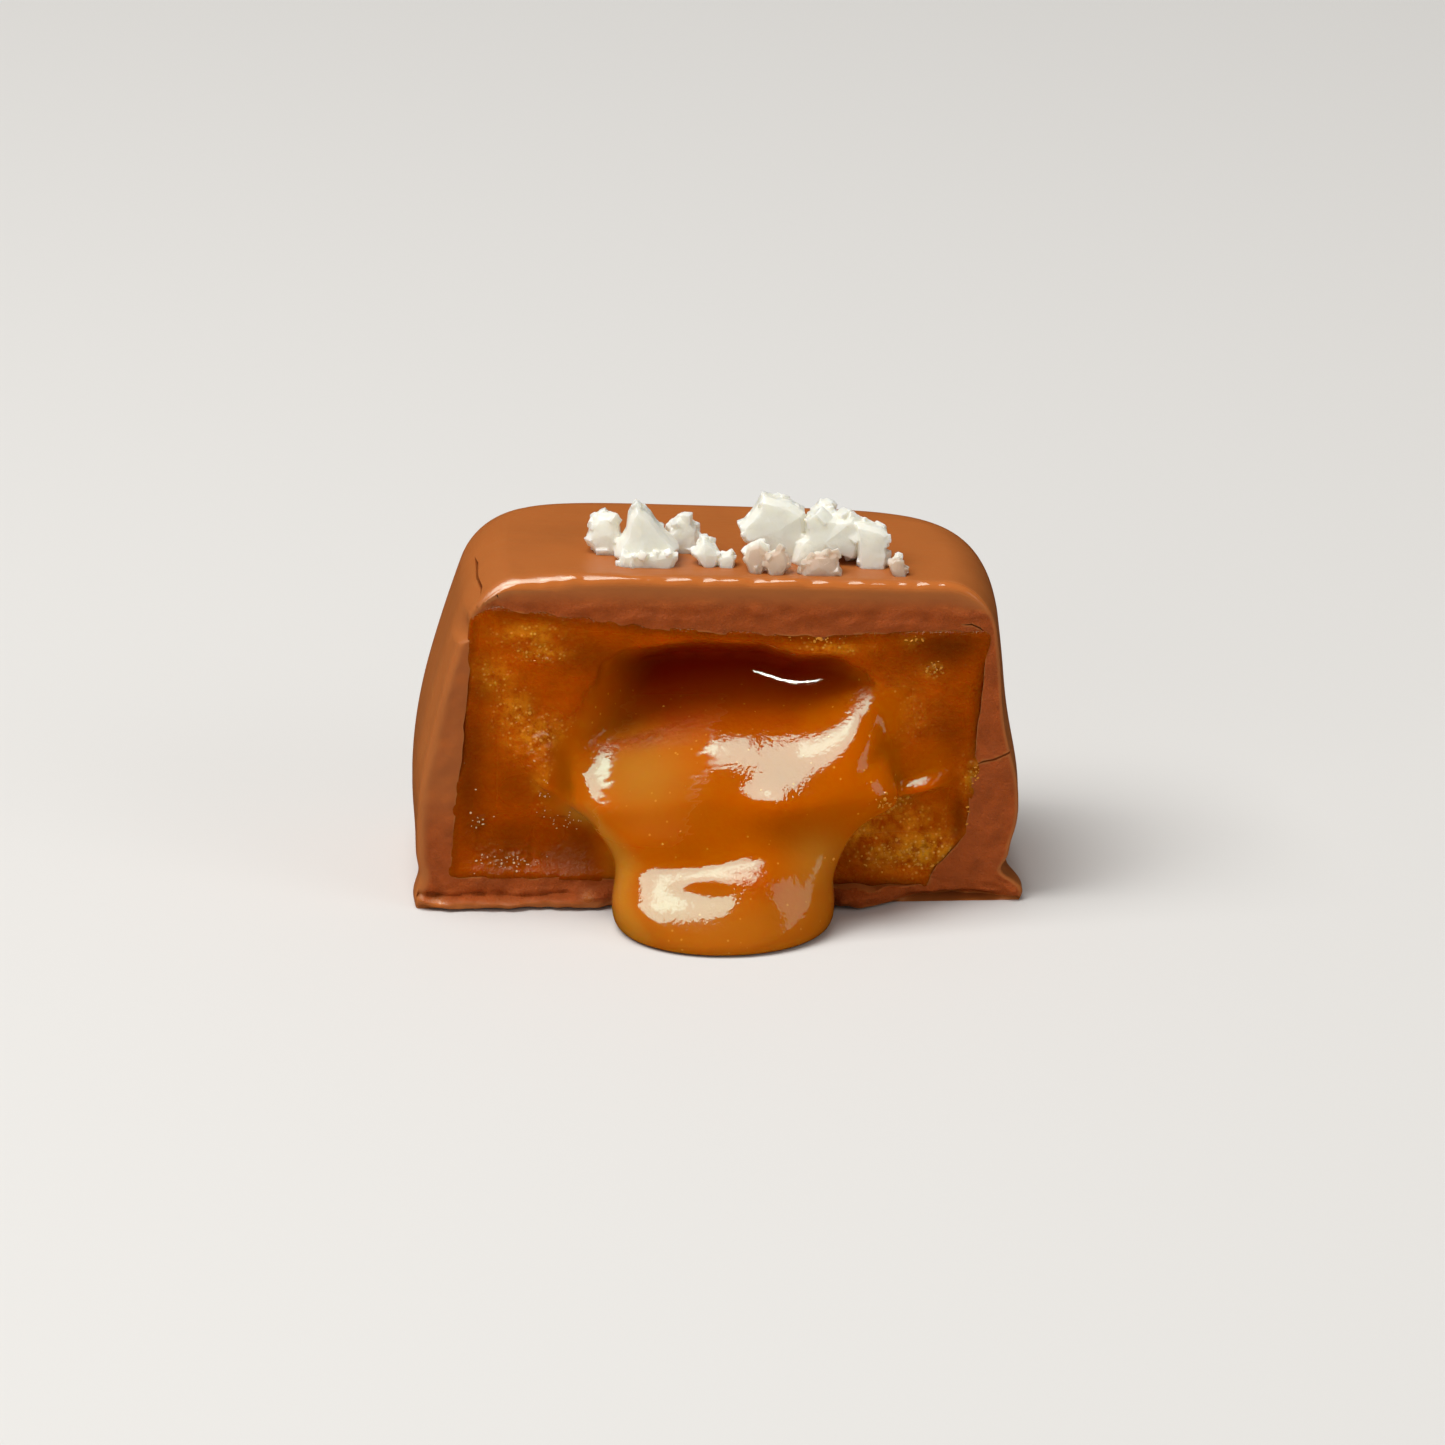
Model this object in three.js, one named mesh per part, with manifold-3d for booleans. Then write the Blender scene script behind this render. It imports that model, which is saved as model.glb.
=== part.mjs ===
// Half of a salted caramel chocolate, cut open, with its runny centre pouring out on to the floor.
// Millimetres, +Z up. The cut face looks along -Y. Shapes are worked out with the cut at y = 0 and the floor
// at z = 0, and the whole is then moved so that the origin lies under the middle of its box.

import * as THREE from "three";
import { mergeVertices } from "three/addons/utils/BufferGeometryUtils.js";
import { SimplexNoise } from "three/addons/math/SimplexNoise.js";
import Module from "manifold-3d";

const wasm = await Module();
wasm.setup();

// ---------------------------------------------------------------- driving dimensions

const HEIGHT = 17.6; // floor to the middle of the top
const TOP_SLOPE = 0.035; // the top falls this much per mm towards the right

// Half the whole candy's size from the middle of its base, on each side, at its widest.
const LEFT = { reach: 15.5, flare: 2.9, power: 1.8, corner: 6, pinch: 0.03 };
const RIGHT = { reach: 15.1, flare: 1.3, power: 1.2, corner: 5, pinch: 0.015 };
const BACK = { reach: 15.2, flare: 2.0, power: 1.5 };
const FLARE_START = 5; // the walls lean inwards above this height
const PINCH_DEPTH = 1.6; // the walls bend inwards this far behind the cut
const TOP_EDGE = 2.6; // radius between walls and top
const FOOT_EDGE = 0.3; // radius under the foot
const FOOT_LIP = { out: 0.16, at: 0.5, tall: 0.6 };
const WAIST = { in: 0.14, at: 1.75, tall: 0.6 };

// The space inside the coating.
const WALL_BACK = 1.4;
const INSIDE_LEFT = { low: 13.85, lean: 0.1 };
const INSIDE_RIGHT = { low: 12.1, lean: -0.08 };
const CEILING = { low: 14.5, rise: 0.012, from: 5, power: 1.77 };
const GROUND = { high: 1.3, slope: 0.035 };
const INSIDE_EDGE = 0.5;
const CLEARANCE = 0.12; // between one piece and the next

// The cut face of the coating.
const CUT_RIM = 0.9; // radius of the rim along the top of the cut
const CUT_ROUGH = 0.12;
const FOOT_BULGES = [
  { x: 7.3, wide: 1.7, out: 0.9 },
  { x: -9.0, wide: 2.4, out: 0.5 },
];
const BULGE_TALL = 1.1;

// The cut face of the set caramel, in mm behind the plane of the cut.
const CARAMEL_ROUGH = 0.16;
const CARAMEL_BACK = 0.12;
const HOLLOWS_IN_FACE = [
  { x: -9.8, z: 3.2, wide: 3.6, tall: 2.2, deep: 0.55 },
  { x: 8.8, z: 3.4, wide: 3.0, tall: 2.2, deep: 0.75 },
];

// The open hollow that the runny caramel left under the top. corner squares it, as in the sections below.
const HOLLOW = { x: 0.6, y: 1.2, z: 12.2, wide: 7.0, deep: 5.8, above: 1.9, below: 3.3, corner: 4 };

// Sections across the runny caramel, from the back of the core, out of the cut and down to the floor.
// y, z: where its front skin crosses the middle. front, back: from that skin to its axis, and on to its rear.
// across: half its width, about x. lean: how far its front skin faces up, in degrees.
// corner: 2 for a round section, more for a squarer one.
const POUR = [
  { y: 6.8, z: 12.5, front: 1.9, back: 2.2, across: 4.6, x: 0.5, lean: 66, corner: 2.4 },
  { y: 5.0, z: 12.7, front: 2.6, back: 3.0, across: 7.0, x: 0.5, lean: 62, corner: 3.4 },
  { y: 2.2, z: 11.4, front: 2.8, back: 3.2, across: 8.0, x: 0.6, lean: 60, corner: 4.0 },
  { y: -0.8, z: 9.6, front: 2.8, back: 2.8, across: 8.7, x: 0.5, lean: 50, corner: 4.0 },
  { y: -2.9, z: 7.4, front: 2.7, back: 1.7, across: 8.8, x: 0.3, lean: 27, corner: 2.8 },
  { y: -3.7, z: 5.3, front: 2.9, back: 1.0, across: 7.0, x: 0.0, lean: 12, corner: 2.2 },
  { y: -4.6, z: 3.4, front: 3.5, back: 0.7, across: 5.9, x: 0.0, lean: 10, corner: 2.1 },
  { y: -6.4, z: 1.6, front: 4.4, back: 1.3, across: 5.75, x: -0.1, lean: 6, corner: 2.1 },
  { y: -7.6, z: 0.4, front: 5.35, back: 1.75, across: 5.7, x: -0.1, lean: 0, corner: 2.1 },
  { y: -7.3, z: 0.0, front: 5.05, back: 1.6, across: 5.4, x: -0.1, lean: 0, corner: 2.1 },
];
const POUR_ROUND = 40;
const POUR_STEPS = 26;

// Salt flakes. kind: lump, spire or block. x, y: middle, y behind the cut. wide runs along x.
// skew: how far its tip leans towards +X. turn: about z, in degrees.
const FLAKES = [
  { kind: "lump", x: -5.8, y: 4.1, wide: 2.0, deep: 1.3, tall: 2.2, skew: 0.1, turn: 10 },
  { kind: "spire", x: -3.7, y: 2.8, wide: 3.5, deep: 2.2, tall: 3.3, skew: -0.6, turn: -4 },
  { kind: "lump", x: -1.8, y: 4.5, wide: 1.7, deep: 1.1, tall: 2.1, skew: 0.1, turn: -8 },
  { kind: "lump", x: -0.7, y: 2.4, wide: 1.6, deep: 1.2, tall: 1.7, skew: -0.2, turn: 20 },
  { kind: "block", x: 0.3, y: 2.1, wide: 0.9, deep: 0.8, tall: 1.0, skew: 0, turn: 25 },
  { kind: "lump", x: 2.6, y: 3.9, wide: 3.6, deep: 1.7, tall: 3.7, skew: -0.2, turn: -8 },
  { kind: "block", x: 5.3, y: 4.5, wide: 1.0, deep: 1.0, tall: 3.0, skew: 0.1, turn: 14 },
  { kind: "lump", x: 5.1, y: 2.9, wide: 3.3, deep: 1.9, tall: 2.5, skew: 0, turn: 5 },
  { kind: "block", x: 7.6, y: 3.2, wide: 1.8, deep: 1.4, tall: 2.5, skew: 0, turn: -10 },
  { kind: "block", x: 7.5, y: 1.5, wide: 1.4, deep: 1.1, tall: 1.4, skew: 0, turn: 6 },
  { kind: "lump", x: 1.7, y: 1.7, wide: 1.5, deep: 1.2, tall: 1.8, skew: 0, turn: 30 },
  { kind: "block", x: 2.9, y: 1.3, wide: 1.4, deep: 0.9, tall: 1.3, skew: 0.1, turn: 28 },
  { kind: "lump", x: 4.8, y: 1.5, wide: 2.2, deep: 1.1, tall: 1.2, skew: 0, turn: 0 },
  { kind: "lump", x: 8.9, y: 1.4, wide: 1.1, deep: 0.9, tall: 1.2, skew: 0.1, turn: 60 },
];
const FLAKE_SINK = 0.35; // how deep each flake sits in the top
const FLAKE_ROUGH = 0.07; // share of a flake's size by which its corners wander

// ---------------------------------------------------------------- seeded chance and relief

function seeded(seed) {
  let state = seed;
  return () => {
    state = (state * 1664525 + 1013904223) % 4294967296;
    return state / 4294967296;
  };
}

const noise = new SimplexNoise({ random: seeded(7) });
const chance = seeded(23);

// Relief at a point of a face: coarse lumps, and finer ones at half their height.
function relief(x, z, lump) {
  const coarse = noise.noise(x / lump, z / lump);
  const fine = noise.noise((2.3 * x) / lump, (2.3 * z) / lump + 40);
  return coarse + 0.5 * fine;
}

const bell = (t) => Math.exp(-t * t);
const { clamp, smoothstep, degToRad } = THREE.MathUtils;

// ---------------------------------------------------------------- solids

function solidOf(geometry) {
  const bare = geometry.clone();
  bare.deleteAttribute("normal");
  bare.deleteAttribute("uv");
  const merged = mergeVertices(bare, 1e-4);
  return new wasm.Manifold(
    new wasm.Mesh({
      numProp: 3,
      vertProperties: merged.attributes.position.array,
      triVerts: new Uint32Array(merged.index.array),
    }),
  );
}

function geometryOf(solid) {
  const mesh = solid.getMesh();
  const geometry = new THREE.BufferGeometry();
  geometry.setAttribute("position", new THREE.BufferAttribute(mesh.vertProperties, 3));
  geometry.setIndex(new THREE.BufferAttribute(mesh.triVerts, 1));
  geometry.computeVertexNormals();
  return geometry;
}

// Moves every vertex of a geometry by a rule that changes the vector it is given.
function reshape(geometry, rule) {
  const position = geometry.attributes.position;
  const point = new THREE.Vector3();
  for (let i = 0; i < position.count; i++) {
    point.fromBufferAttribute(position, i);
    rule(point);
    position.setXYZ(i, point.x, point.y, point.z);
  }
  return geometry;
}

// ---------------------------------------------------------------- the candy's form

function wallReach(side, z) {
  const high = clamp((z - FLARE_START) / (HEIGHT - FLARE_START), 0, 1);
  const lip = FOOT_LIP.out * bell((z - FOOT_LIP.at) / FOOT_LIP.tall);
  const waist = WAIST.in * bell((z - WAIST.at) / WAIST.tall);
  return side.reach - side.flare * high ** side.power + lip - waist;
}

// Outline of a rounded square, for a direction given by its cosine and sine.
function squareness(c, s, corner) {
  return new THREE.Vector2(bulge(c, corner), bulge(s, corner));
}

// A cosine or sine drawn out towards 1, except where it is 0.
function bulge(value, corner) {
  return Math.abs(value) < 1e-6 ? 0 : Math.sign(value) * Math.abs(value) ** (2 / corner);
}

// A closed profile for a turned form: share of the full width against height, with rounded edges.
function formProfile(height, topEdge, footEdge, width, levels) {
  const points = [new THREE.Vector2(0, 0), new THREE.Vector2(0.6, 0)];
  const arc = (edge, middle, from, to, steps) => {
    for (let i = 0; i <= steps; i++) {
      const a = degToRad(from + ((to - from) * i) / steps);
      points.push(new THREE.Vector2(1 - (edge / width) * (1 - Math.cos(a)), middle + edge * Math.sin(a)));
    }
  };
  arc(footEdge, footEdge, -90, 0, 2);
  for (const z of levels) points.push(new THREE.Vector2(1, z));
  arc(topEdge, height - topEdge, 0, 90, 6);
  points.push(new THREE.Vector2(0.45, height), new THREE.Vector2(0, height));
  return points;
}

// A LatheGeometry turned about z, its round plan then drawn out into the candy's rounded square.
function turnedForm(profile, round, place) {
  const geometry = new THREE.LatheGeometry(profile, round).rotateX(Math.PI / 2);
  return reshape(geometry, (p) => {
    const share = Math.hypot(p.x, p.y);
    const c = share > 0 ? p.x / share : 1;
    const s = share > 0 ? p.y / share : 0;
    place(p, share, c, s);
  });
}

function candyForm() {
  const levels = [1.1, 1.8, 2.6, 4, 6, 8, 10, 12, 13.6];
  const profile = formProfile(HEIGHT, TOP_EDGE, FOOT_EDGE, LEFT.reach, levels);
  return turnedForm(profile, 60, (p, share, c, s) => {
    const side = c < 0 ? LEFT : RIGHT;
    const outline = squareness(c, s, side.corner);
    p.y = share * outline.y * wallReach(BACK, p.z);
    const pinch = side.pinch * bell(p.y / PINCH_DEPTH);
    p.x = share * outline.x * wallReach(side, p.z) * (1 - pinch);
    p.z -= TOP_SLOPE * p.x * (p.z / HEIGHT);
  });
}

// The space inside the coating, made smaller all round by a clearance.
function insideForm(clearance) {
  const edge = INSIDE_EDGE / INSIDE_LEFT.low;
  const profile = formProfile(1, edge, edge, 1, [0.17, 0.3, 0.45, 0.6, 0.75]);
  return turnedForm(profile, 52, (p, share, c, s) => {
    const up = p.z;
    const side = c < 0 ? INSIDE_LEFT : INSIDE_RIGHT;
    const outline = squareness(c, s, c < 0 ? LEFT.corner : RIGHT.corner);
    const z0 = up * HEIGHT;
    p.x = share * outline.x * (side.low - side.lean * z0 - clearance);
    p.y = share * outline.y * (wallReach(BACK, z0) - WALL_BACK - clearance);
    const rise = CEILING.rise * Math.max(0, CEILING.from - p.x) ** CEILING.power;
    const low = GROUND.high - GROUND.slope * p.x + clearance;
    const high = CEILING.low + rise - clearance;
    p.z = low + (high - low) * up;
  });
}

// ---------------------------------------------------------------- the cut

// Everything behind a cut face, whose rule gives y for a point (x, z) of the face.
// Its rows lie closer towards the top, where the rim is.
function behindCut(face, columns, rows) {
  const block = new THREE.BoxGeometry(34, 20, 1, columns, 1, rows).translate(0, 10, 0.5);
  return solidOf(
    reshape(block, (p) => {
      p.z = 20 * (1 - (1 - p.z) ** 1.5) - 1;
      if (p.y < 1e-6) p.y = face(p.x, p.z);
    }),
  );
}

function coatingCut(x, z) {
  const below = HEIGHT - TOP_SLOPE * x - z;
  const high = clamp(1 - below / CUT_RIM, 0, 1);
  const rim = CUT_RIM * (1 - Math.sqrt(1 - high * high));
  let foot = 0;
  for (const b of FOOT_BULGES) {
    foot += b.out * bell((x - b.x) / b.wide) * (1 - smoothstep(z, 0.3, BULGE_TALL + 0.6));
  }
  return rim - foot + CUT_ROUGH * relief(x, z, 2.4);
}

function caramelCut(x, z) {
  let back = CARAMEL_BACK;
  for (const h of HOLLOWS_IN_FACE) back += h.deep * bell((x - h.x) / h.wide) * bell((z - h.z) / h.tall);
  return back + CARAMEL_ROUGH * relief(x + 50, z, 1.9);
}

// ---------------------------------------------------------------- the runny caramel

// The sections above, read between their rows by smooth curves.
const ROWS = ["y", "z", "front", "back", "across", "x", "lean", "corner"];
const POUR_CURVES = ROWS.map(
  (key) =>
    new THREE.SplineCurve(POUR.map((row, i) => new THREE.Vector2(i / (POUR.length - 1), row[key]))),
);

function pourSection(t) {
  const section = {};
  ROWS.forEach((key, i) => (section[key] = POUR_CURVES[i].getPoint(t).y));
  return section;
}

function pourGeometry(grow) {
  const profile = [new THREE.Vector2(0, 0)];
  for (let i = 0; i <= POUR_STEPS; i++) profile.push(new THREE.Vector2(1, i / POUR_STEPS));
  profile.push(new THREE.Vector2(0, 1));
  const geometry = new THREE.LatheGeometry(profile, POUR_ROUND).rotateX(Math.PI / 2);
  return reshape(geometry, (p) => {
    const s = pourSection(clamp(p.z, 0, 1));
    const lean = degToRad(s.lean);
    const outline = squareness(p.x, p.y, s.corner);
    const inward = s.front + outline.y * ((p.y < 0 ? s.front : s.back) + grow);
    const atBack = p.z < 0.001 ? grow : 0;
    const atFloor = p.z > 0.999 ? grow : 0;
    p.x = s.x - outline.x * (s.across + grow);
    p.y = s.y + inward * Math.cos(lean) + atBack;
    p.z = s.z - inward * Math.sin(lean) - atFloor;
  });
}

// ---------------------------------------------------------------- salt

// A ball drawn out towards a cube, which gives a crystal lump its blunt corners.
function lumpGeometry() {
  return reshape(new THREE.IcosahedronGeometry(1, 1), (p) => {
    const blunt = (p.x ** 4 + p.y ** 4 + p.z ** 4) ** 0.25;
    p.multiplyScalar(0.5 / blunt);
  });
}

function flakeGeometry(flake) {
  const shapes = {
    lump: lumpGeometry,
    spire: () =>
      new THREE.CylinderGeometry(0.1, 0.7, 1, 4, 2, false, Math.PI / 4).rotateX(Math.PI / 2),
    block: () => new THREE.BoxGeometry(0.9, 0.9, 0.95, 2, 2, 2),
  };
  const bare = shapes[flake.kind]();
  bare.deleteAttribute("normal");
  bare.deleteAttribute("uv");
  const geometry = mergeVertices(bare, 1e-4);
  const wander = () => FLAKE_ROUGH * (2 * chance() - 1);
  reshape(geometry, (p) => {
    p.x = (p.x + wander()) * flake.wide + flake.skew * (p.z + 0.5);
    p.y = (p.y + wander()) * flake.deep;
    p.z = (p.z + wander()) * flake.tall;
  });
  const top = HEIGHT - TOP_SLOPE * flake.x;
  geometry.rotateZ(degToRad(flake.turn));
  geometry.translate(flake.x, flake.y, top - FLAKE_SINK + flake.tall / 2);
  return geometry;
}

// ---------------------------------------------------------------- the pieces

function coatingWithSalt() {
  const coating = solidOf(candyForm())
    .intersect(behindCut(coatingCut, 34, 30))
    .subtract(solidOf(insideForm(0)));
  return FLAKES.reduce((whole, flake) => whole.add(solidOf(flakeGeometry(flake))), coating);
}

function setCaramel() {
  const hollow = reshape(new THREE.SphereGeometry(1, 28, 14), (p) => {
    p.x = HOLLOW.x + HOLLOW.wide * bulge(p.x, HOLLOW.corner);
    p.y = HOLLOW.y + HOLLOW.deep * bulge(p.y, HOLLOW.corner);
    p.z = HOLLOW.z + (p.z > 0 ? HOLLOW.above : HOLLOW.below) * bulge(p.z, HOLLOW.corner);
  });
  return solidOf(insideForm(CLEARANCE))
    .intersect(behindCut(caramelCut, 36, 24))
    .subtract(solidOf(hollow))
    .subtract(solidOf(pourGeometry(CLEARANCE)));
}

function piece(name, solid, colour, roughness) {
  const material = new THREE.MeshStandardMaterial({ color: colour, roughness, metalness: 0 });
  const mesh = new THREE.Mesh(geometryOf(solid), material);
  mesh.name = name;
  return mesh;
}

const candy = new THREE.Group();
candy.add(piece("chocolate_coating", coatingWithSalt(), 0x9c5a35, 0.42));
candy.add(piece("set_caramel", setCaramel(), 0x8a4606, 0.3));
candy.add(piece("runny_caramel", solidOf(pourGeometry(0)), 0xb8650c, 0.1));

const box = new THREE.Box3().setFromObject(candy);
const middle = box.getCenter(new THREE.Vector3());
candy.position.set(-middle.x, -middle.y, -box.min.z);

export default candy;
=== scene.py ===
"""Half of a salted caramel chocolate: satin milk chocolate shell, set caramel, runny centre, sea salt."""

import math
import random

import bmesh
import bpy
from bpy.props import FloatProperty, FloatVectorProperty, IntProperty, PointerProperty
from mathutils import Matrix, Vector, noise
from mathutils.bvhtree import BVHTree


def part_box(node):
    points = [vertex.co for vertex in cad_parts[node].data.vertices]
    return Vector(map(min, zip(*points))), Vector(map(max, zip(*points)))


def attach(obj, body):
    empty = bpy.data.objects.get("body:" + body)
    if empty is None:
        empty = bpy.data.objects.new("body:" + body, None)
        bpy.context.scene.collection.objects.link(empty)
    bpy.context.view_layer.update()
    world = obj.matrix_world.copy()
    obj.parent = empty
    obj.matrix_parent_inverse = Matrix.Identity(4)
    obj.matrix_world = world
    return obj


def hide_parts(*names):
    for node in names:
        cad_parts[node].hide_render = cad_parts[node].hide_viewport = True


bl_info = {
    "name": "Salted Caramel Candy",
    "version": (1, 0, 0),
    "blender": (4, 5, 0),
    "location": "View3D > Sidebar > Candy",
    "description": "Adds the cut half of a chocolate-coated caramel with sea salt, round its solids",
    "category": "Add Mesh",
}

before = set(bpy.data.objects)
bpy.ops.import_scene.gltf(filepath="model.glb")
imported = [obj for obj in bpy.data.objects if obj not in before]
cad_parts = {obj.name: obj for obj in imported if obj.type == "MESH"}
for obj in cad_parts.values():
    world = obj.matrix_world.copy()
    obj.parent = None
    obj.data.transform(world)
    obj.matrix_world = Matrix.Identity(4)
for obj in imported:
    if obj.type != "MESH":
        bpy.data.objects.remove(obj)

# Shapes are worked out in millimetres, with the cut at y = 0, the floor at z = 0 and x = 0 at the base's
# middle, and are moved into the frame as they are finished.
MM = 0.001
LEFT_WIDE = 15.61  # from x = 0 to the coating's left side
FOOT_REACH = 7.61  # from the cut to the front of the runny caramel
SHIFT = Vector((
    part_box("chocolate_coating")[0].x / MM + LEFT_WIDE,
    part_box("runny_caramel")[0].y / MM + FOOT_REACH,
    0.0,
))
ON_CUT = 1e-6  # a point nearer to the cut than this is on it

# A span with soft ends is four numbers: where it begins, is full, starts to end and has ended.

# The candy's walls, by side: reach at the widest, the height from which the top leans in, how far and how
# suddenly, the squareness of the plan and the share by which the wall bends in at the cut.
LEFT = {"reach": 15.7, "from": 5.4, "flare": 3.3, "power": 1.5, "corner": 6.0, "pinch": 0.026}
RIGHT = {"reach": 15.1, "from": 5.0, "flare": 1.3, "power": 1.2, "corner": 5.0, "pinch": 0.015}
BACK = {"reach": 15.2, "from": 5.0, "flare": 2.0, "power": 1.5}
PINCH_DEPTH = 1.6
PINCH_LOW = 0.3  # share of the pinch at the base
LEFT_RIM = 0.45  # radii of the cut's rim, down both sides and along the base
RIGHT_RIM = 0.2
BASE_RIM = 0.55
NOTCH = {"tall": (13.95, 14.25, 14.45, 15.7), "in": 0.45, "deep": 1.2}  # a bite out of the cut's left side
TUCK = {"by": 0.035, "deep": (1.0, 4.0, 8.0, 12.0)}  # the share by which the foot is narrower behind the cut
TOP_SLOPE = 0.035
TOP_DIP = {"wide": (-13.4, -12.2, -10.8, -7.2), "down": 0.3, "deep": 3.0}  # where the top sags at the cut
FOOT_LIP = {"out": 0.16, "at": 0.5, "tall": 0.6}
WAIST = {"in": 0.14, "at": 1.75, "tall": 0.6}
LEFT_EDGE = 0.85  # how much tighter the top edge is on the left, as a share
WIDER_RIM = 0.35  # how much wider the cut's top rim is on the left, as a share
COATING_GRID = (184, 46, 118)
GRID_PULL = {"across": 0.5, "up": 0.7, "back": 1.35}  # how its lines crowd at the edges and at the cut
CAVITY_GRID = (150, 10, 90)
CARAMEL_GRID = (130, 30, 75)

# Random relief: how far, the size of its lumps and a seed.
CUT_LUMPS = ((0.1, 1.9, 1.0), (0.09, 0.7, 2.0))
CRUMB_LUMPS = ((0.3, 0.8, 11.0), (0.3, 0.4, 12.0))
CRYSTAL_LUMPS = ((0.03, 0.5, 3.0), (0.02, 0.2, 4.0))

# How the right side swells and thins on its way up: height, how far out, how tall.
RIGHT_WAVES = ((0.5, 0.15, 0.5), (1.6, -0.55, 0.6), (2.7, -0.4, 1.1), (6.4, 0.18, 1.8), (10.0, -0.12, 2.0))

# The foot of the cut: x, how far forward, how wide, up to which height.
FOOT_ROLLS = (
    (-13.2, 0.55, 1.6, 0.75),
    (-10.6, 0.45, 1.6, 0.75),
    (-7.2, 0.7, 2.0, 0.95),
    (6.9, 1.35, 1.7, 1.2),
    (11.5, -0.8, 2.4, 0.5),
)

# The seam between wall and foot on the left of the cut.
FOOT_SEAM = {"at": 0.72, "in": 0.34, "tall": 0.16}

# Cracks in the chocolate: points, the way they face, width at the surface and depth.
CRACKS = (
    (((-12.6, 5.7, 17.3), (-12.5, 4.2, 17.35), (-12.6, 2.6, 17.3), (-12.45, 1.3, 17.25), (-12.5, 0.3, 16.9)),
     (-0.8, 0.0, 1.0), 0.3, 0.9),
    (((-12.2, 0.55, 17.5), (-11.2, 0.7, 17.85), (-9.7, 1.1, 17.98), (-8.2, 1.4, 17.92), (-6.3, 1.5, 17.85)),
     (0.0, 0.0, 1.0), 0.1, 0.07),
    (((12.6, 0.1, 7.25), (13.2, 0.0, 7.55), (13.8, 0.0, 7.7), (14.5, 0.0, 8.0), (15.2, 0.6, 8.35)),
     (0.3, -1.0, 0.0), 0.14, 0.35),
    (((12.1, 0.1, 14.95), (12.6, 0.0, 15.0), (13.0, 0.0, 14.8), (13.5, 0.1, 14.35)),
     (0.0, -1.0, 0.0), 0.12, 0.3),
)

# The space inside the coating, and how far the caramel reaches past it into the chocolate.
WALL_BACK = 1.4
INSIDE_LEFT = {"low": 13.95, "lean": 0.08}
INSIDE_RIGHT = {"low": 12.1, "lean": -0.08}
CEILING = {"low": 14.5, "rise": 0.012, "from": 5.0, "power": 1.77}
GROUND = {"high": 1.3, "slope": 0.035}
INSIDE_EDGE = 0.5
CORNER = {"in": 1.5, "from": 4.0, "to": 1.3}  # how the right wall comes in at its foot, between two heights
CARAMEL_GROWTH = 0.22

# Sections across the runny caramel, from the back of the core to the floor: y and z of its front skin at the
# middle, the depth to its axis and on to its rear, half its width, its middle in x, how far the skin faces up
# in degrees, and 2 for a round section or more for a squarer one.
POUR = (
    (6.8, 12.5, 1.9, 2.2, 4.6, 0.5, 66, 2.4),
    (5.0, 12.7, 2.6, 3.0, 7.0, 0.5, 62, 3.4),
    (2.2, 11.4, 2.8, 3.2, 8.0, 0.6, 60, 4.0),
    (-0.8, 9.6, 2.8, 2.8, 8.3, 0.1, 50, 4.0),
    (-2.9, 7.4, 2.7, 1.7, 8.8, 0.0, 27, 2.8),
    (-3.7, 5.3, 2.9, 1.0, 6.8, 0.0, 12, 2.8),
    (-4.6, 3.4, 3.5, 0.7, 5.6, 0.0, 10, 3.4),
    (-6.45, 1.8, 4.4, 1.3, 5.65, -0.1, 6, 2.8),
    (-7.6, 0.55, 5.35, 1.75, 5.65, -0.1, 0, 2.1),
    (-7.4, 0.0, 5.05, 1.6, 5.4, -0.1, 0, 2.1),
)

# The runny caramel's skin is a relief over a plane that leans back 20 degrees: UP is its slope, OUT stands on
# it.
SLANT = math.radians(20.0)
PIVOT = Vector((0.0, 3.2, 8.75))
UP = Vector((0.0, math.sin(SLANT), math.cos(SLANT)))
OUT = Vector((0.0, -math.cos(SLANT), math.sin(SLANT)))
FAR_OUT = OUT * 40.0  # where a look along the slant starts from

# Where the pool in the hollow turns over into the stream, at even steps of x from -CREST_HALF to CREST_HALF:
# the middle of the turn along UP, and its softness.
CREST_HALF = 8.8
CREST = ((-2.6, 0.8), (-2.15, 0.95), (-2.0, 1.1), (-1.75, 1.2), (-1.45, 1.2), (-1.25, 1.2), (-1.25, 1.25),
         (-1.35, 1.35), (-1.35, 1.35), (-0.75, 1.35), (0.35, 1.3), (1.0, 1.0))
SKEW = 0.16  # how much further forward the stream's shoulder is per mm to the right
FOOT_SKEW = 0.12
TURN_REACH = 2.2  # how many times its softness below its middle the turn begins
STREAM_SLOPE = 0.12
POOL_SLOPE = 1.25
HOLLOW_BACK = -2.6  # along OUT
HOLLOW_WIDE = (-8.2, -2.0, 4.0, 8.6)
POOL_WIDE = (-9.0, -7.0, 7.5, 9.5)
SKIN_WIDE = (-9.0, -8.0, 8.6, 9.8)
SHAPED = {"x": (-9.2, 10.0), "up": (-7.5, 5.2), "deep": 1.2}  # where the skin is shaped at all
NECK = {"x": (-7.4, 6.6), "z": (7.0, 13.0)}  # the stream where it leaves the set caramel
DARKEST = 4.6  # how deep the hollow is where it is darkest
DARK_FLOOR = {"by": 0.35, "up": 0.1, "tall": 0.7, "wide": (-4.0, -2.0, 3.0, 5.0)}  # the pool's shaded edge
HAZE = {"wide": (-5.6, -5.2, -0.9, -0.4), "tall": (-8.0, -4.2, 0.6, 2.2)}  # a veil over the stream's gloss
SMEAR = {"reach": 0.45, "out": 0.07, "wander": 0.2}  # the caramel drawn over the chocolate's edge
# Along the chocolate the caramel is glossier, which is real, and painted darker, which is painted shade.
WET_EDGE_SHADE = {"reach": 0.35, "by": 0.6}

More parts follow.
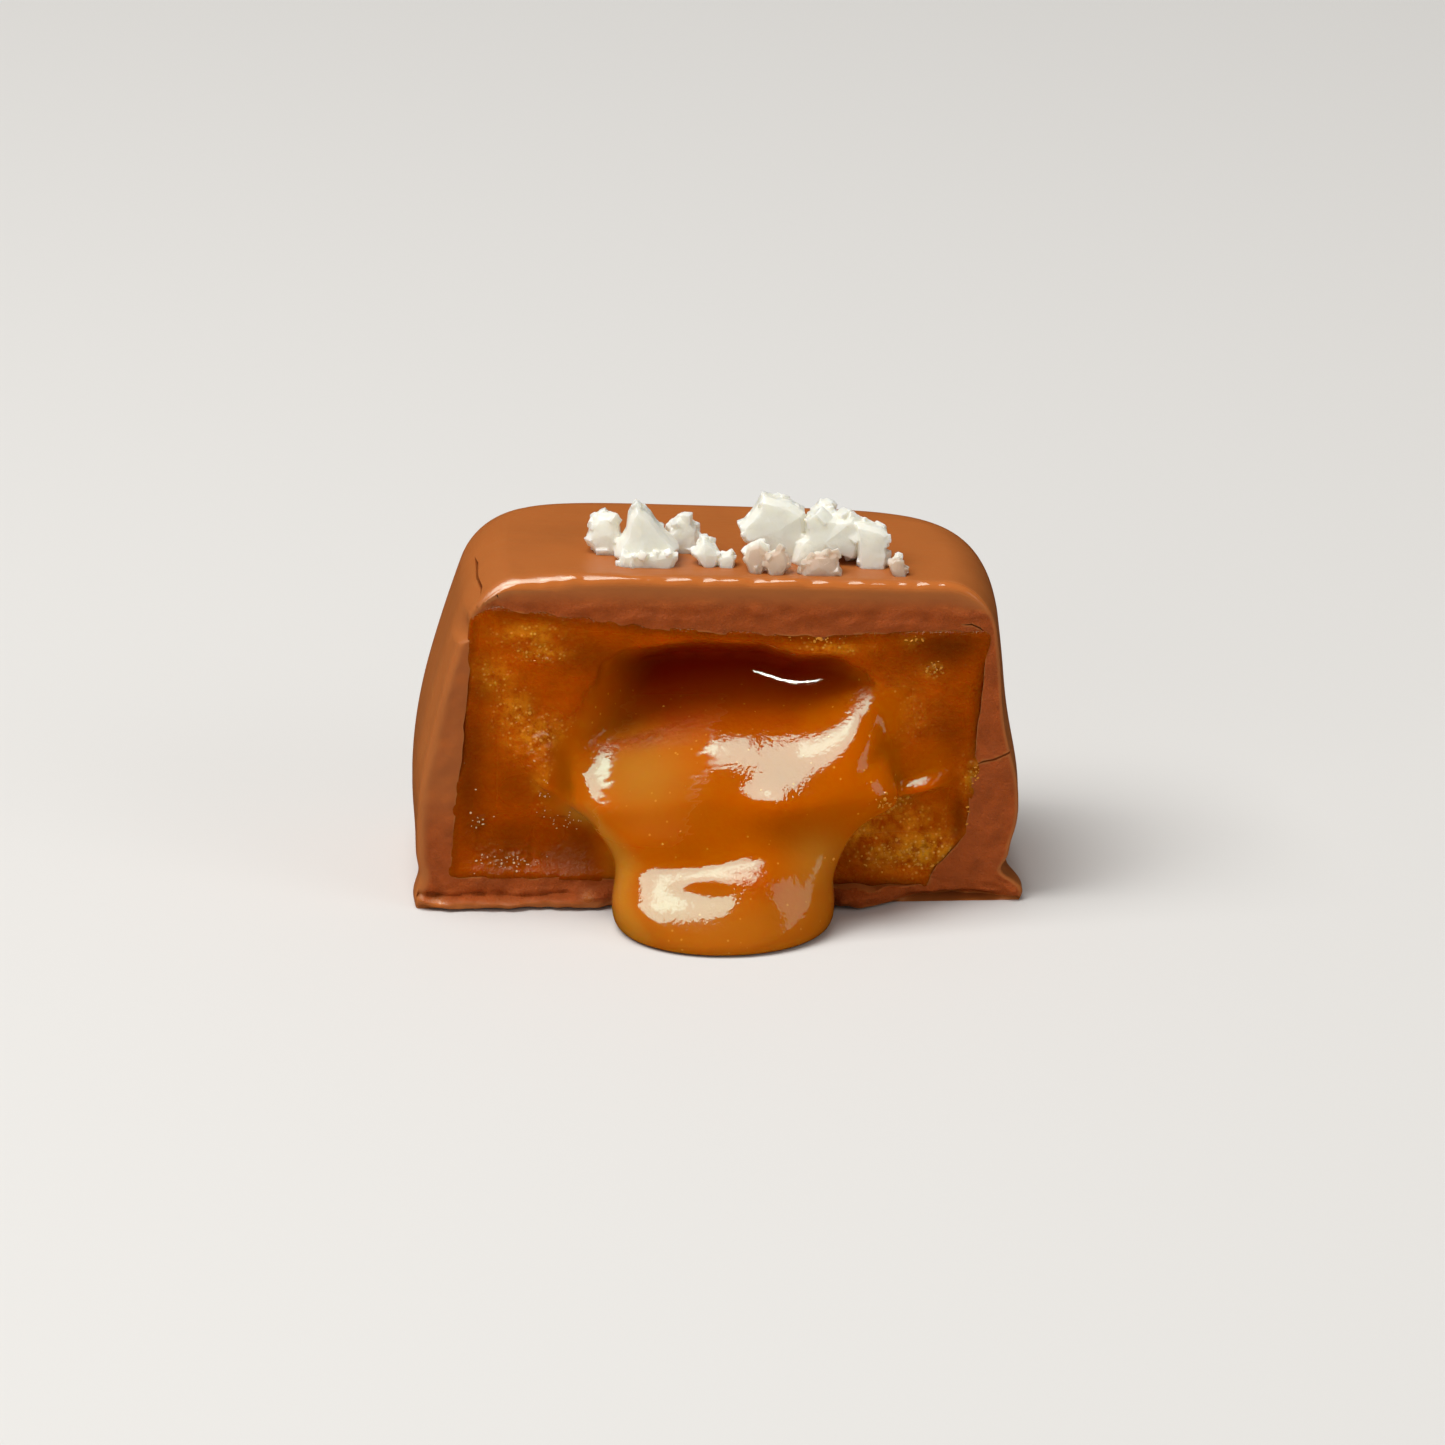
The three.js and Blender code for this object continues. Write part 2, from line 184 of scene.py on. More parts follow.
# The upper edge of the hollow at the cut: x and z.
CEILING_EDGE = ((-8.0, 11.0), (-6.6, 12.4), (-6.0, 13.6), (-5.0, 14.1), (-1.2, 14.45), (1.9, 14.3),
                (3.1, 13.9), (3.9, 13.6), (5.6, 13.6), (7.1, 13.0), (8.4, 11.6))

# Where the stream's left wing ends, and how it falls to the right.
LEFT_WING = {"x": -9.2, "z": 6.7, "fall": 0.6, "wide": (-10.4, -9.0, -6.2, -5.2), "out": 0.7}
# Where the right wing ends, how far it climbs from there and over what way.
RIGHT_WING = {"x": 6.4, "z": 4.9, "climb": 2.1, "run": 3.4, "wide": (5.0, 7.0, 10.5, 12.2)}
WING_FILM = {"wide": (5.0, 7.0, 10.8, 12.0), "tall": (-0.3, 0.1, 1.0, 3.0)}  # runny caramel over that wing

# The tables of patches all say: x and z, the radii in x and z, and how much.

# Swellings and dents of the stream, with the place along UP for z, in millimetres.
SWELLS = (
    (2.6, -4.5, 1.7, 1.3, 0.5), (-6.3, -4.3, 1.2, 1.2, 0.3), (-0.6, -7.95, 2.6, 0.6, 0.26),
    (1.5, -8.3, 1.4, 1.5, 0.6),
)

# Where the coating's foot is smooth and shines, and is painted paler as a painted highlight.
FOOT_GLINTS = ((-14.6, 0.4, 0.4, 0.3, 1.0), (-6.9, 0.7, 0.3, 0.3, 1.0))

# Clouds of pale gold in the set caramel.
GOLD_CLOUDS = (
    (-11.6, 12.6, 0.9, 1.0, 0.7), (-10.7, 10.7, 0.9, 1.2, 0.7), (-9.5, 9.4, 1.7, 1.0, 0.75),
    (-8.9, 6.6, 0.7, 1.4, 0.8), (-9.9, 14.8, 1.6, 0.6, 0.7), (-9.0, 13.8, 1.2, 0.4, 0.8),
    (10.7, 12.6, 0.6, 0.4, 1.0), (9.8, 14.1, 0.8, 0.4, 0.5), (8.6, 10.4, 1.8, 1.4, 0.4),
    (8.4, 5.5, 1.1, 0.7, 1.0), (7.2, 3.9, 1.3, 0.8, 1.0), (10.0, 2.8, 2.6, 1.2, 1.0),
    (9.4, 4.4, 1.6, 1.0, 0.6), (12.7, 6.9, 0.5, 1.0, 1.0), (5.4, 13.8, 1.7, 0.3, 0.9),
)

# Painted glow where the stream is thin, standing in for light coming through it, and a painted milky sheen,
# with the place along UP for z.
PAINTED_FLOW_GLOW = ((4.6, 4.0, 1.4, 1.3, 0.55), (-4.4, 8.9, 0.9, 0.8, 0.3), (-7.2, 5.0, 1.0, 0.9, 0.75))
PAINTED_MILKY_SHEEN = ((-4.2, -2.6, 2.4, 2.0, 0.6),)

# Where the set caramel is broken, wet and darker.
WET_PATCHES = (
    (-13.1, 8.0, 1.2, 5.0, 0.8), (-12.6, 11.8, 0.9, 1.6, 0.6), (-11.0, 3.4, 2.0, 1.5, 0.45),
    (-7.3, 3.6, 1.9, 2.2, 0.7), (-10.4, 6.3, 1.2, 1.0, 0.3), (6.7, 5.0, 0.5, 0.8, 0.4),
    (12.1, 4.4, 0.5, 2.0, 0.8), (11.4, 13.8, 2.6, 1.4, 1.0), (11.6, 9.0, 1.4, 2.0, 0.45),
    (-6.5, 13.6, 2.2, 1.2, 0.45),
)

# Pockets in the set caramel, in millimetres.
POCKETS = (
    (-8.6, 3.7, 2.5, 1.6, 1.0), (-12.2, 3.9, 0.9, 1.4, 0.4), (7.4, 4.2, 1.5, 1.2, 0.1),
    (9.6, 4.0, 1.9, 1.3, 0.05), (12.0, 3.8, 0.5, 1.6, 0.35),
)

# How rich the caramel is in crumbs of sugar. It is broken round them, and wholly so where they are many.
CRUMBS = (
    (-12.4, 4.6, 0.5, 1.0, 40), (-11.0, 2.6, 1.5, 0.5, 110), (-8.0, 4.6, 0.8, 0.5, 50),
    (-9.0, 6.3, 0.5, 1.3, 40), (-9.2, 9.2, 1.2, 1.2, 30), (-9.2, 13.7, 1.2, 0.35, 20),
    (9.0, 2.6, 2.8, 0.8, 170), (8.4, 5.4, 0.9, 0.5, 70), (10.7, 12.6, 0.5, 0.4, 30),
    (9.8, 14.1, 0.6, 0.4, 16), (12.6, 4.0, 0.3, 1.6, 40), (12.9, 6.9, 0.2, 1.2, 40),
    (1.0, 8.0, 6.0, 3.0, 24), (4.8, 14.3, 1.4, 0.2, 30),
)
MANY_CRUMBS = 40.0
BROKEN = [row[:4] + (min(1.0, row[4] / MANY_CRUMBS),) for row in CRUMBS]
FEWER = {"wet": 3, "dry": 2}  # one crumb is made for so many
CRUMB_RADIUS = {"least": 0.035, "wet": 0.05, "dry": 0.1}  # the least, and how much more it can be

# Salt flakes: how far behind the cut, how thick, size of the crystals along the edge, and the outline as x
# and height over the top.
FLAKES = (
    (3.6, 1.3, 0.45, ((-6.8, 0.7), (-6.5, 1.4), (-6.2, 1.9), (-5.5, 2.0), (-5.1, 1.7), (-4.9, 0.6),
        (-5.2, 0.0), (-6.0, -0.2), (-6.6, 0.3))),
    (2.2, 1.8, 0.3, ((-5.5, 0.3), (-5.3, 0.7), (-4.8, 1.5), (-4.7, 2.3), (-4.3, 3.0), (-3.5, 2.4),
        (-2.9, 1.6), (-2.0, 0.7), (-2.3, 0.3), (-2.7, 0.0), (-4.1, -0.1), (-4.9, 0.0))),
    (1.6, 0.7, 0.3, ((-5.3, 0.0), (-5.2, 0.6), (-4.0, 0.6), (-2.5, 0.8), (-2.1, 0.6), (-2.4, 0.1),
        (-3.5, -0.2), (-4.8, -0.1))),
    (4.0, 1.1, 0.4, ((-2.7, 0.8), (-2.2, 1.3), (-2.1, 1.8), (-1.6, 1.9), (-1.1, 1.2), (-1.1, 0.2),
        (-1.5, -0.2), (-2.0, -0.2), (-2.5, 0.3))),
    (1.9, 1.1, 0.3, ((-1.5, 0.6), (-1.1, 1.1), (-0.9, 1.4), (-0.5, 1.1), (0.0, 0.6), (-0.2, 0.2),
        (-0.7, -0.1), (-1.2, 0.3))),
    (1.8, 0.8, 0.25, ((-0.2, 0.4), (0.1, 0.6), (0.5, 0.7), (0.7, 0.4), (0.6, 0.0), (-0.1, 0.1))),
    (3.1, 1.5, 0.3, ((0.9, 1.6), (1.4, 2.1), (1.9, 2.8), (2.2, 3.3), (3.0, 3.1), (3.7, 2.9), (4.4, 2.5),
        (4.5, 1.6), (4.2, 0.8), (3.7, 0.1), (2.8, -0.2), (2.1, 0.8), (1.4, 0.7), (1.1, 0.9))),
    (4.0, 1.0, 0.4, ((4.5, 1.4), (4.6, 2.3), (5.2, 2.6), (5.8, 2.6), (5.8, 1.9), (6.1, 1.4), (5.9, 0.6),
        (4.9, 0.6))),
    (2.5, 1.7, 0.5, ((3.5, 0.2), (3.8, 1.0), (4.3, 1.4), (4.4, 2.4), (5.0, 2.6), (6.0, 2.4), (6.9, 2.5),
        (7.2, 2.2), (7.2, 0.9), (6.9, 0.3), (6.2, 0.5), (5.2, 0.4), (4.6, -0.2), (3.8, -0.3))),
    (2.2, 1.4, 0.4, ((6.8, 2.3), (7.4, 2.2), (8.2, 2.0), (8.5, 1.8), (8.4, 1.2), (8.5, 0.6), (8.3, -0.4),
        (7.6, -0.5), (7.0, -0.4), (6.9, 0.7))),
    (1.1, 1.2, 0.3, ((1.1, 0.6), (1.3, 1.2), (1.9, 1.5), (2.3, 1.1), (2.3, 0.6), (2.0, 0.1), (1.4, 0.1))),
    (0.9, 0.9, 0.3, ((2.1, 0.5), (2.3, 0.9), (3.0, 1.3), (3.3, 0.9), (3.4, 0.5), (3.0, 0.0), (2.4, 0.0))),
    (0.9, 1.0, 0.35, ((3.9, 0.1), (4.2, 0.7), (4.8, 1.0), (5.9, 1.0), (5.9, 0.1), (4.9, 0.0))),
    (1.0, 0.9, 0.3, ((8.4, 0.5), (8.7, 0.8), (9.0, 0.9), (9.3, 0.5), (9.4, 0.1), (8.8, -0.1))),
)
FLAKE_SINK = 0.3
FLAKE_LEAN = 0.2  # how far a flake leans back per mm of height
COARSE_GRAIN = 0.3  # flakes of coarser grain have crystals on their face too

# Edges that turn by more than this stay sharp.
SHARP = math.radians(40.0)
CRYSTAL_SHARP = math.radians(14.0)

# The stage, in metres from the middle of the picture. Lights: name, place, size, power in watts, and whether
# they show in the gloss.
VIEW_AZIMUTH = math.radians(-2.5)
VIEW_ELEVATION = math.radians(20.0)
VIEW_TARGET = Vector((0.1134, 3.1827, 8.7497))  # in millimetres, from the middle of the cut's base
LENS = 293.0  # on a 36 mm sensor
FLOOR_HALF = 2.0
LIGHTS = (
    ("overhead", (-0.2, -0.05, 0.5), (0.34, 0.52), 3.4, True),
    ("overhead_core", (-0.17, -0.03, 0.49), (0.1, 0.2), 0.22, True),
    ("right_card", (0.44, -0.26, 0.31), (0.2, 0.26), 0.15, True),
    ("right_fill", (0.4, -0.35, 0.25), (0.3, 0.3), 0.3, False),
    ("front_fill", (-0.3, -0.55, 0.12), (0.4, 0.4), 0.6, False),
)
SKY = {"tone": "FFFCFA", "strength": 0.2}

# A thin light in the hollow, for the streak on its wet floor, in millimetres: its ends, and the way it looks.
STREAK = ((1.75, 3.95, 11.85), (4.75, 2.65, 11.6), (0.05, -0.49, -0.87))
STREAK_WIDE = 0.1
STREAK_POWER = 0.00001
STREAK_SPREAD = math.radians(70.0)
STREAK_TINT = (1.0, 0.8, 0.75)


# ---- settings

def srgb(code):
    """A hex colour as shares."""
    return [int(code[i:i + 2], 16) / 255.0 for i in (0, 2, 4)]


def length(name, description, size):
    return FloatProperty(name=name, description=description, default=size * MM, unit="LENGTH")


def tint(name, what, code):
    return FloatVectorProperty(name=name, description=f"Colour of {what}, sRGB", default=srgb(code),
                               subtype="COLOR_GAMMA")


class CoatingSettings(bpy.types.PropertyGroup):
    height: length("Height", "Floor to the middle of the top", 17.6)
    top_edge: length("Top edge", "Radius between walls and top", 2.6)
    cut_rim: length("Cut rim", "Radius of the rim along the top of the cut", 0.6)
    skin: tint("Skin", "the enrobed chocolate", "AB612C")
    cut: tint("Cut", "the cut chocolate", "AA4E17")


class CaramelSettings(bpy.types.PropertyGroup):
    voxel: length("Voxel", "Cell in which set and runny caramel are melted together", 0.17)
    firm: tint("Set", "the set caramel", "B34F00")
    runny: tint("Runny", "the runny caramel", "BB5C00")


class SaltSettings(bpy.types.PropertyGroup):
    seed: IntProperty(name="Seed", description="Which crystals the flakes are made of", default=11, min=0)
    facet: length("Facet", "Smallest facet on a flake", 0.05)
    grown: FloatProperty(
        name="Grown", description="Share of the facets kept as the crystals grow together", default=0.1,
        min=0.02, max=1.0)
    white: tint("White", "the salt", "FAF4E6")


class StageSettings(bpy.types.PropertyGroup):
    distance: length("Distance", "Camera to the middle of its picture", 600.0)
    floor: tint("Floor", "the floor", "D6D4D0")


# ---- small sums

def smooth(low, high, value):
    t = min(max((value - low) / (high - low), 0.0), 1.0)
    return t * t * (3.0 - 2.0 * t)


def span(ends, value):
    """1 within a span with soft ends, 0 outside it."""
    return smooth(ends[0], ends[1], value) * (1.0 - smooth(ends[2], ends[3], value))


def mix(a, b, t):
    return a + (b - a) * t


def bell(t):
    return math.exp(-t * t)


def bulge(value, corner):
    """A cosine or sine drawn out towards 1."""
    return math.copysign(abs(value) ** (2.0 / corner), value) if abs(value) > 1e-9 else 0.0


def rough(point, size, seed=0.0):
    """Smooth random relief from -1 to 1, with lumps of one size in mm."""
    return noise.noise(Vector(point) / size + Vector((seed, 7.3 * seed, 3.1 * seed)))


def lumps(rows, point):
    return sum(far * rough(point, size, seed) for far, size, seed in rows)


def soft_step(t):
    """The integral of a smooth step: 0 well below t = 0, t well above it."""
    return t if t > 30.0 else math.log1p(math.exp(t))


def between(rows, x):
    """A height at x between the rows of a table, eased from row to row."""
    for low, high in zip(rows, rows[1:]):
        if x < high[0]:
            return mix(low[1], high[1], smooth(low[0], high[0], x))
    return rows[-1][1]


def along(rows, t):
    """A row between the rows of a table, on Catmull-Rom curves."""
    place = min(max(t, 0.0), 1.0) * (len(rows) - 1)
    i = min(int(place), len(rows) - 2)
    f = place - i
    before, start, end, after = (rows[min(max(k, 0), len(rows) - 1)] for k in (i - 1, i, i + 1, i + 2))
    return [
        0.5 * (2 * b + (c - a) * f + (2 * a - 5 * b + 4 * c - d) * f**2 + (3 * b - a - 3 * c + d) * f**3)
        for a, b, c, d in zip(before, start, end, after)
    ]


def each_patch(rows, x, z):
    return (much * bell((x - at) / wide) * bell((z - up) / tall) for at, up, wide, tall, much in rows)


def summed(rows, x, z):
    """Some soft bumps added up, at a place on the cut."""
    return sum(each_patch(rows, x, z))


def patches(rows, x, z):
    """The strongest of some soft patches, at a place on the cut."""
    return max(each_patch(rows, x, z))


# ---- meshes

def grid_block(columns, depth, rows):
    """A closed block from -1 to 1 in x and 0 to 1 in y and z, its faces cut into a grid."""
    bm = bmesh.new()
    bmesh.ops.create_cube(bm, size=1.0)
    bmesh.ops.transform(bm, verts=bm.verts, matrix=Matrix.Diagonal((2.0, 1.0, 1.0, 1.0)))
    bmesh.ops.translate(bm, verts=bm.verts, vec=(0.0, 0.5, 0.5))
    for axis, cells in enumerate((columns, depth, rows)):
        runs = [e for e in bm.edges if abs((e.verts[1].co - e.verts[0].co)[axis]) > 1e-6]
        bmesh.ops.subdivide_edges(bm, edges=runs, cuts=cells - 1, use_grid_fill=True)
    return bm


def linked(name, data):
    thing = bpy.data.objects.new(name, data)
    bpy.context.scene.collection.objects.link(thing)
    return thing


def stored(piece, bm):
    """Puts a bmesh into a piece and frees it."""
    bm.to_mesh(piece.data)
    bm.free()
    return piece


def as_object(name, bm):
    return stored(linked(name, bpy.data.meshes.new(name)), bm)


def as_bmesh(piece):
    bm = bmesh.new()
    bm.from_mesh(piece.data)
    return bm


def applied(piece, kind, **settings):
    """Adds a modifier to a piece and applies it."""
    modifier = piece.modifiers.new(kind, kind)
    for key, value in settings.items():
        setattr(modifier, key, value)
    graph = bpy.context.evaluated_depsgraph_get()
    mesh = bpy.data.meshes.new_from_object(piece.evaluated_get(graph))
    piece.modifiers.clear()
    old = piece.data
    piece.data = mesh
    bpy.data.meshes.remove(old)
    return piece


def without(piece, tool):
    """Cuts a tool's volume out of a piece and removes the tool."""
    applied(piece, "BOOLEAN", operation="DIFFERENCE", solver="MANIFOLD", object=tool)
    bpy.data.meshes.remove(tool.data)


def smoothed(bm, verts, passes):
    for _ in range(passes):
        bmesh.ops.smooth_vert(bm, verts=verts, factor=0.5, use_axis_x=True, use_axis_y=True, use_axis_z=True)


def melted(piece, voxel, passes):
    """Melts a piece's overlapping parts into one skin and smooths it."""
    bm = as_bmesh(applied(piece, "REMESH", mode="VOXEL", voxel_size=voxel))
    smoothed(bm, bm.verts, passes)
    return bm


def finished(piece, bm, material, nodes=(), sharp=SHARP):
    """Puts a mesh in millimetres into the frame, as a piece that rides on the candy."""
    bmesh.ops.transform(bm, verts=bm.verts, matrix=Matrix.Scale(MM, 4) @ Matrix.Translation(SHIFT))
    for face in bm.faces:
        face.smooth = True
    for edge in bm.edges:
        edge.smooth = edge.calc_face_angle(0.0) < sharp
    stored(piece, bm)
    piece.data.validate()
    piece.data.materials.clear()
    piece.data.materials.append(material)
    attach(piece, "root")
    if nodes:
        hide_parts(*nodes)


# ---- materials

def linear(tone, shade=1.0):
    """An sRGB colour, as a hex code or as shares, in linear RGBA, and darker or lighter by a factor."""
    shares = [c * shade for c in (srgb(tone) if isinstance(tone, str) else tone)]
    return [c / 12.92 if c <= 0.04045 else ((c + 0.055) / 1.055) ** 2.4 for c in shares] + [1.0]


# The output that is wanted from a node, where it isn't the first.
WANTED = {"TexCoord": "Object", "Attribute": "Fac", "Mix": "Result"}


def add(tree, kind, inputs, **settings):
    """Adds a node with its settings, and its inputs as values or links, and gives the wanted output."""
    made = tree.nodes.new("ShaderNode" + kind)
    for key, value in settings.items():
        setattr(made, key, value)
    for socket, value in inputs.items():
        if isinstance(value, bpy.types.NodeSocket):
            tree.links.new(value, made.inputs[socket])
        else:
            made.inputs[socket].default_value = value
    return made.outputs[WANTED.get(kind, 0)] if made.outputs else None


def new_tree(name):
    material = bpy.data.materials.new(name)
    material.use_nodes = True
    material.node_tree.nodes.clear()
    return material, material.node_tree


def in_mm(tree, stretch=1.0):
    """The place on a piece in millimetres, for patterns, which can be stretched in x."""
    scale = (1.0 / MM / stretch, 1.0 / MM, 1.0 / MM)
    return add(tree, "Mapping", {"Vector": add(tree, "TexCoord", {}), "Scale": scale})


def surfaced(material, inputs):
    """Ends a material's nodes with its shader."""
    tree = material.node_tree
    add(tree, "OutputMaterial", {"Surface": add(tree, "BsdfPrincipled", inputs)})
    return material


def enrobed_milk_chocolate(skin, cut):
    """Tempered milk chocolate: a satin skin where it was poured, a dull grainy break where it was cut."""
    material, tree = new_tree("enrobed_milk_chocolate")
    per_mm = in_mm(tree)
    mask, rim = (add(tree, "Attribute", {}, attribute_name=name) for name in ("cut", "rim"))
    cloud, lump, crumb = (
        add(tree, "TexNoise", {"Vector": per_mm, "Scale": scale, "Detail": detail, "Roughness": coarse})
        for scale, detail, coarse in ((0.22, 3.0, 0.5), (1.1, 5.0, 0.6), (4.0, 6.0, 0.65)))
    base = add(tree, "Mix", {"Factor": cloud, "A": linear(skin, 0.93), "B": linear(skin, 1.05)},
               data_type="RGBA")
    cut_tone = add(tree, "Mix", {"Factor": lump, "A": linear(cut, 0.82), "B": linear(cut, 1.14)},
                   data_type="RGBA")
    # The rim is painted paler, as a painted highlight beside its real gloss.
    for share, over in ((mask, cut_tone), (rim, linear(skin, 1.12))):
        base = add(tree, "Mix", {"Factor": share, "A": base, "B": over}, data_type="RGBA")
    # Faint streaks run along the candy where the chocolate was wiped smooth.
    ripple = add(tree, "TexNoise", {"Vector": in_mm(tree, 4.0), "Scale": 1.4, "Detail": 3.0})
    relief = add(tree, "Mix", {"Factor": mask, "A": ripple, "B": crumb})
    depth = add(tree, "MapRange", {"Value": mask, "To Min": 0.03 * MM, "To Max": 0.2 * MM})
    satin = add(tree, "MapRange", {"Value": mask, "To Min": 0.38, "To Max": 0.5})
    return surfaced(material, {
        "Base Color": base, "IOR": 1.46, "Specular Tint": linear("ECFFF2"),
        "Roughness": add(tree, "Mix", {"Factor": rim, "A": satin, "B": 0.06}),
        "Specular IOR Level": add(tree, "MapRange", {"Value": rim, "To Min": 0.3, "To Max": 1.0}),
        "Subsurface Weight": 0.12, "Subsurface Radius": (1.0, 0.45, 0.25), "Subsurface Scale": 0.8 * MM,
        "Normal": add(tree, "Bump", {"Height": relief, "Distance": depth})})


# What the caramel's skin is made of, with its painted shade and painted glow, as shares at each point.
CARAMEL_SHARES = ("flow", "deep", "haze", "painted_glow_and_sheen", "gold", "wet", "broken")


def soft_caramel(firm, runny):
    """Cooked sugar, butter and cream: clear amber that light runs through, wet and glossy where it flows."""
    material, tree = new_tree("soft_caramel")
    per_mm = in_mm(tree)
    flow, deep, haze, painted_glow_and_sheen, gold, wet, broken = (
        add(tree, "Attribute", {}, attribute_name=name) for name in CARAMEL_SHARES)
    patch, lump, swirl, grain, ripple = (
        add(tree, "TexNoise", {"Vector": per_mm, "Scale": scale, "Detail": detail, "Roughness": coarse})
        for scale, detail, coarse in ((0.5, 4.0, 0.62), (1.3, 5.0, 0.7), (0.25, 2.0, 0.5), (2.6, 5.0, 0.6),
                                      (4.0, 1.0, 0.5)))
    base = add(tree, "Mix", {"Factor": patch, "A": linear(firm, 0.7), "B": linear(firm, 1.25)},
               data_type="RGBA")
    # Butter and sugar that have not melted: pale gold grains in clouds.
    cloud = add(tree, "MapRange", {"Value": lump, "From Min": 0.38, "From Max": 0.62})
    golden = add(tree, "Math", {0: cloud, 1: gold}, operation="MULTIPLY")
    grains = add(tree, "TexVoronoi", {"Vector": per_mm, "Scale": 3.3})
    speck = add(tree, "MapRange", {"Value": grains, "From Min": 0.3, "From Max": 0.12})
    spotted = add(tree, "Math", {0: speck, 1: gold}, operation="MULTIPLY")
    clear = add(tree, "Mix", {"Factor": swirl, "A": linear(runny, 0.93), "B": linear(runny, 1.07)},
                data_type="RGBA")
    bubbles = add(tree, "TexVoronoi", {"Vector": per_mm, "Scale": 1.5})
    bubble = add(tree, "MapRange", {"Value": bubbles, "From Min": 0.12, "From Max": 0.05, "To Max": 0.5})
    dotted = add(tree, "Mix", {"Factor": bubble, "A": clear, "B": linear("F4B84C")}, data_type="RGBA")
    # The hollow's dark red is painted shade, the paler patches on the stream are painted glow and sheen, and
    # the wet brown along the chocolate is partly painted shade.
    for share, over in ((golden, linear("F6A422")), (spotted, linear("FFC860")), (wet, linear("783204")),
                        (flow, dotted), (painted_glow_and_sheen, linear("BC8428")), (deep, linear("A02404"))):
        base = add(tree, "Mix", {"Factor": share, "A": base, "B": over}, data_type="RGBA")
    gloss = add(tree, "MapRange", {"Value": flow, "To Min": 0.3, "To Max": 0.07})
    for share, over in ((haze, 0.55), (wet, 0.12), (broken, 0.06)):
        gloss = add(tree, "Mix", {"Factor": share, "A": gloss, "B": over})
    shine = add(tree, "MapRange", {"Value": flow, "To Min": 0.35, "To Max": 0.66})
    for share, over in ((haze, 0.015), (broken, 1.0), (deep, 0.12)):
        shine = add(tree, "Mix", {"Factor": share, "A": shine, "B": over})
    relief = add(tree, "Mix", {"Factor": flow, "A": grain, "B": ripple})
    depth = add(tree, "MapRange", {"Value": flow, "To Min": 0.18 * MM, "To Max": 0.012 * MM})
    bump = add(tree, "Bump", {"Height": relief, "Distance": depth})
    # Where the caramel is broken its surface is all small wet crumbs.
    crumbs = add(tree, "TexVoronoi", {"Vector": per_mm, "Scale": 2.7}, feature="SMOOTH_F1")
    crumbly = add(tree, "MapRange", {"Value": broken, "To Max": 0.4 * MM})
    return surfaced(material, {
        "Base Color": base, "Roughness": gloss, "IOR": 1.6,
        "Specular IOR Level": shine, "Specular Tint": linear("C6FFE8"),
        "Subsurface Weight": 1.0, "Subsurface Radius": (1.0, 0.4, 0.08),
        "Subsurface Scale": add(tree, "MapRange", {"Value": flow, "To Min": 0.5 * MM, "To Max": 1.4 * MM}),
        "Normal": add(tree, "Bump", {"Height": crumbs, "Distance": crumbly, "Normal": bump}, invert=True)})


def flaked_sea_salt(white):
    """Flaked sea salt: clear crystals grown together, white where they scatter the light."""
    material, tree = new_tree("flaked_sea_salt")
    grain = add(tree, "TexNoise", {"Vector": in_mm(tree), "Scale": 3.0, "Detail": 4.0})
    clear = add(tree, "Attribute", {}, attribute_name="clear")
    return surfaced(material, {
        "Base Color": add(tree, "Mix", {"Factor": clear, "A": linear(white), "B": linear("F8DCC4")},
                          data_type="RGBA"),
        "Roughness": 0.28, "IOR": 1.54,
        "Transmission Weight": add(tree, "MapRange", {"Value": clear, "To Min": 0.12, "To Max": 0.45}),
        "Subsurface Weight": 1.0, "Subsurface Radius": (1.0, 0.95, 0.85), "Subsurface Scale": 0.4 * MM,
        "Normal": add(tree, "Bump", {"Height": grain, "Distance": 0.05 * MM})})


def wet_sugar():
    """Crumbs of sugar under a film of caramel: gold, painted paler in the lower left as painted glints, and
    sharply lit.
    """
    material, tree = new_tree("wet_sugar")
    painted_glint = add(tree, "Attribute", {}, attribute_name="painted_glint")
    return surfaced(material, {
        "Base Color": add(tree, "Mix", {"Factor": painted_glint, "A": linear("E09438"), "B": linear("FAD8AC")},
                          data_type="RGBA"),
        "Roughness": 0.06, "IOR": 1.6, "Specular IOR Level": 1.0, "Specular Tint": linear("FFE8D0")})


def matt_paper(tone):
    """Uncoated studio paper: flat, with no gloss of its own."""
    material, _ = new_tree("studio_paper")
    return surfaced(material, {"Base Color": linear(tone), "Roughness": 0.9, "Specular IOR Level": 0.2})


# ---- the coating

def wall_reach(side, z, height):
    high = min(max((z - side["from"]) / (height - side["from"]), 0.0), 1.0)
    lip = FOOT_LIP["out"] * bell((z - FOOT_LIP["at"]) / FOOT_LIP["tall"])
    waist = WAIST["in"] * bell((z - WAIST["at"]) / WAIST["tall"])
    return side["reach"] - side["flare"] * high ** side["power"] + lip - waist


def side_reach(side, y, z, height):
    """The reach of a side wall, which is pinched at the cut and tucked in at its foot."""
    pinch = side["pinch"] * bell(y / PINCH_DEPTH) * mix(PINCH_LOW, 1.0, smooth(3.5, 9.5, z))
    tucked = TUCK["by"] * span(TUCK["deep"], y) * smooth(4.5, 1.5, z)
    return wall_reach(side, z, height) * (1.0 - pinch) * (1.0 - tucked)


def plan(u, b, corner):
    """A point of a square drawn on to a rounded square: its share of the way out, and the outline there."""
    share = max(abs(u), b)
    if share < 1e-9:
        return 0.0, 0.0, 0.0
    a, c = u / share, b / share
    shrink = (abs(a) ** corner + abs(c) ** corner) ** (-1.0 / corner)
    return share, a * shrink, c * shrink


def round_off(x, z, wide, high, radius):
    """Rounds the outer top corner of a rectangle, and gives the way out of it there."""
    dx, dz = x - (wide - radius), z - (high - radius)
    if dx > 0.0 and dz > 0.0:
        far = math.hypot(dx, dz)
        keep = max(dx, dz) / far
        return wide - radius + dx * keep, high - radius + dz * keep, dx / far, dz / far
    top = high - z < wide - x
    return x, z, 0.0 if top else 1.0, 1.0 if top else 0.0


def spread(t, ends):
    """Moves grid lines towards both ends."""
    return mix(t, t * t * (3.0 - 2.0 * t), ends)


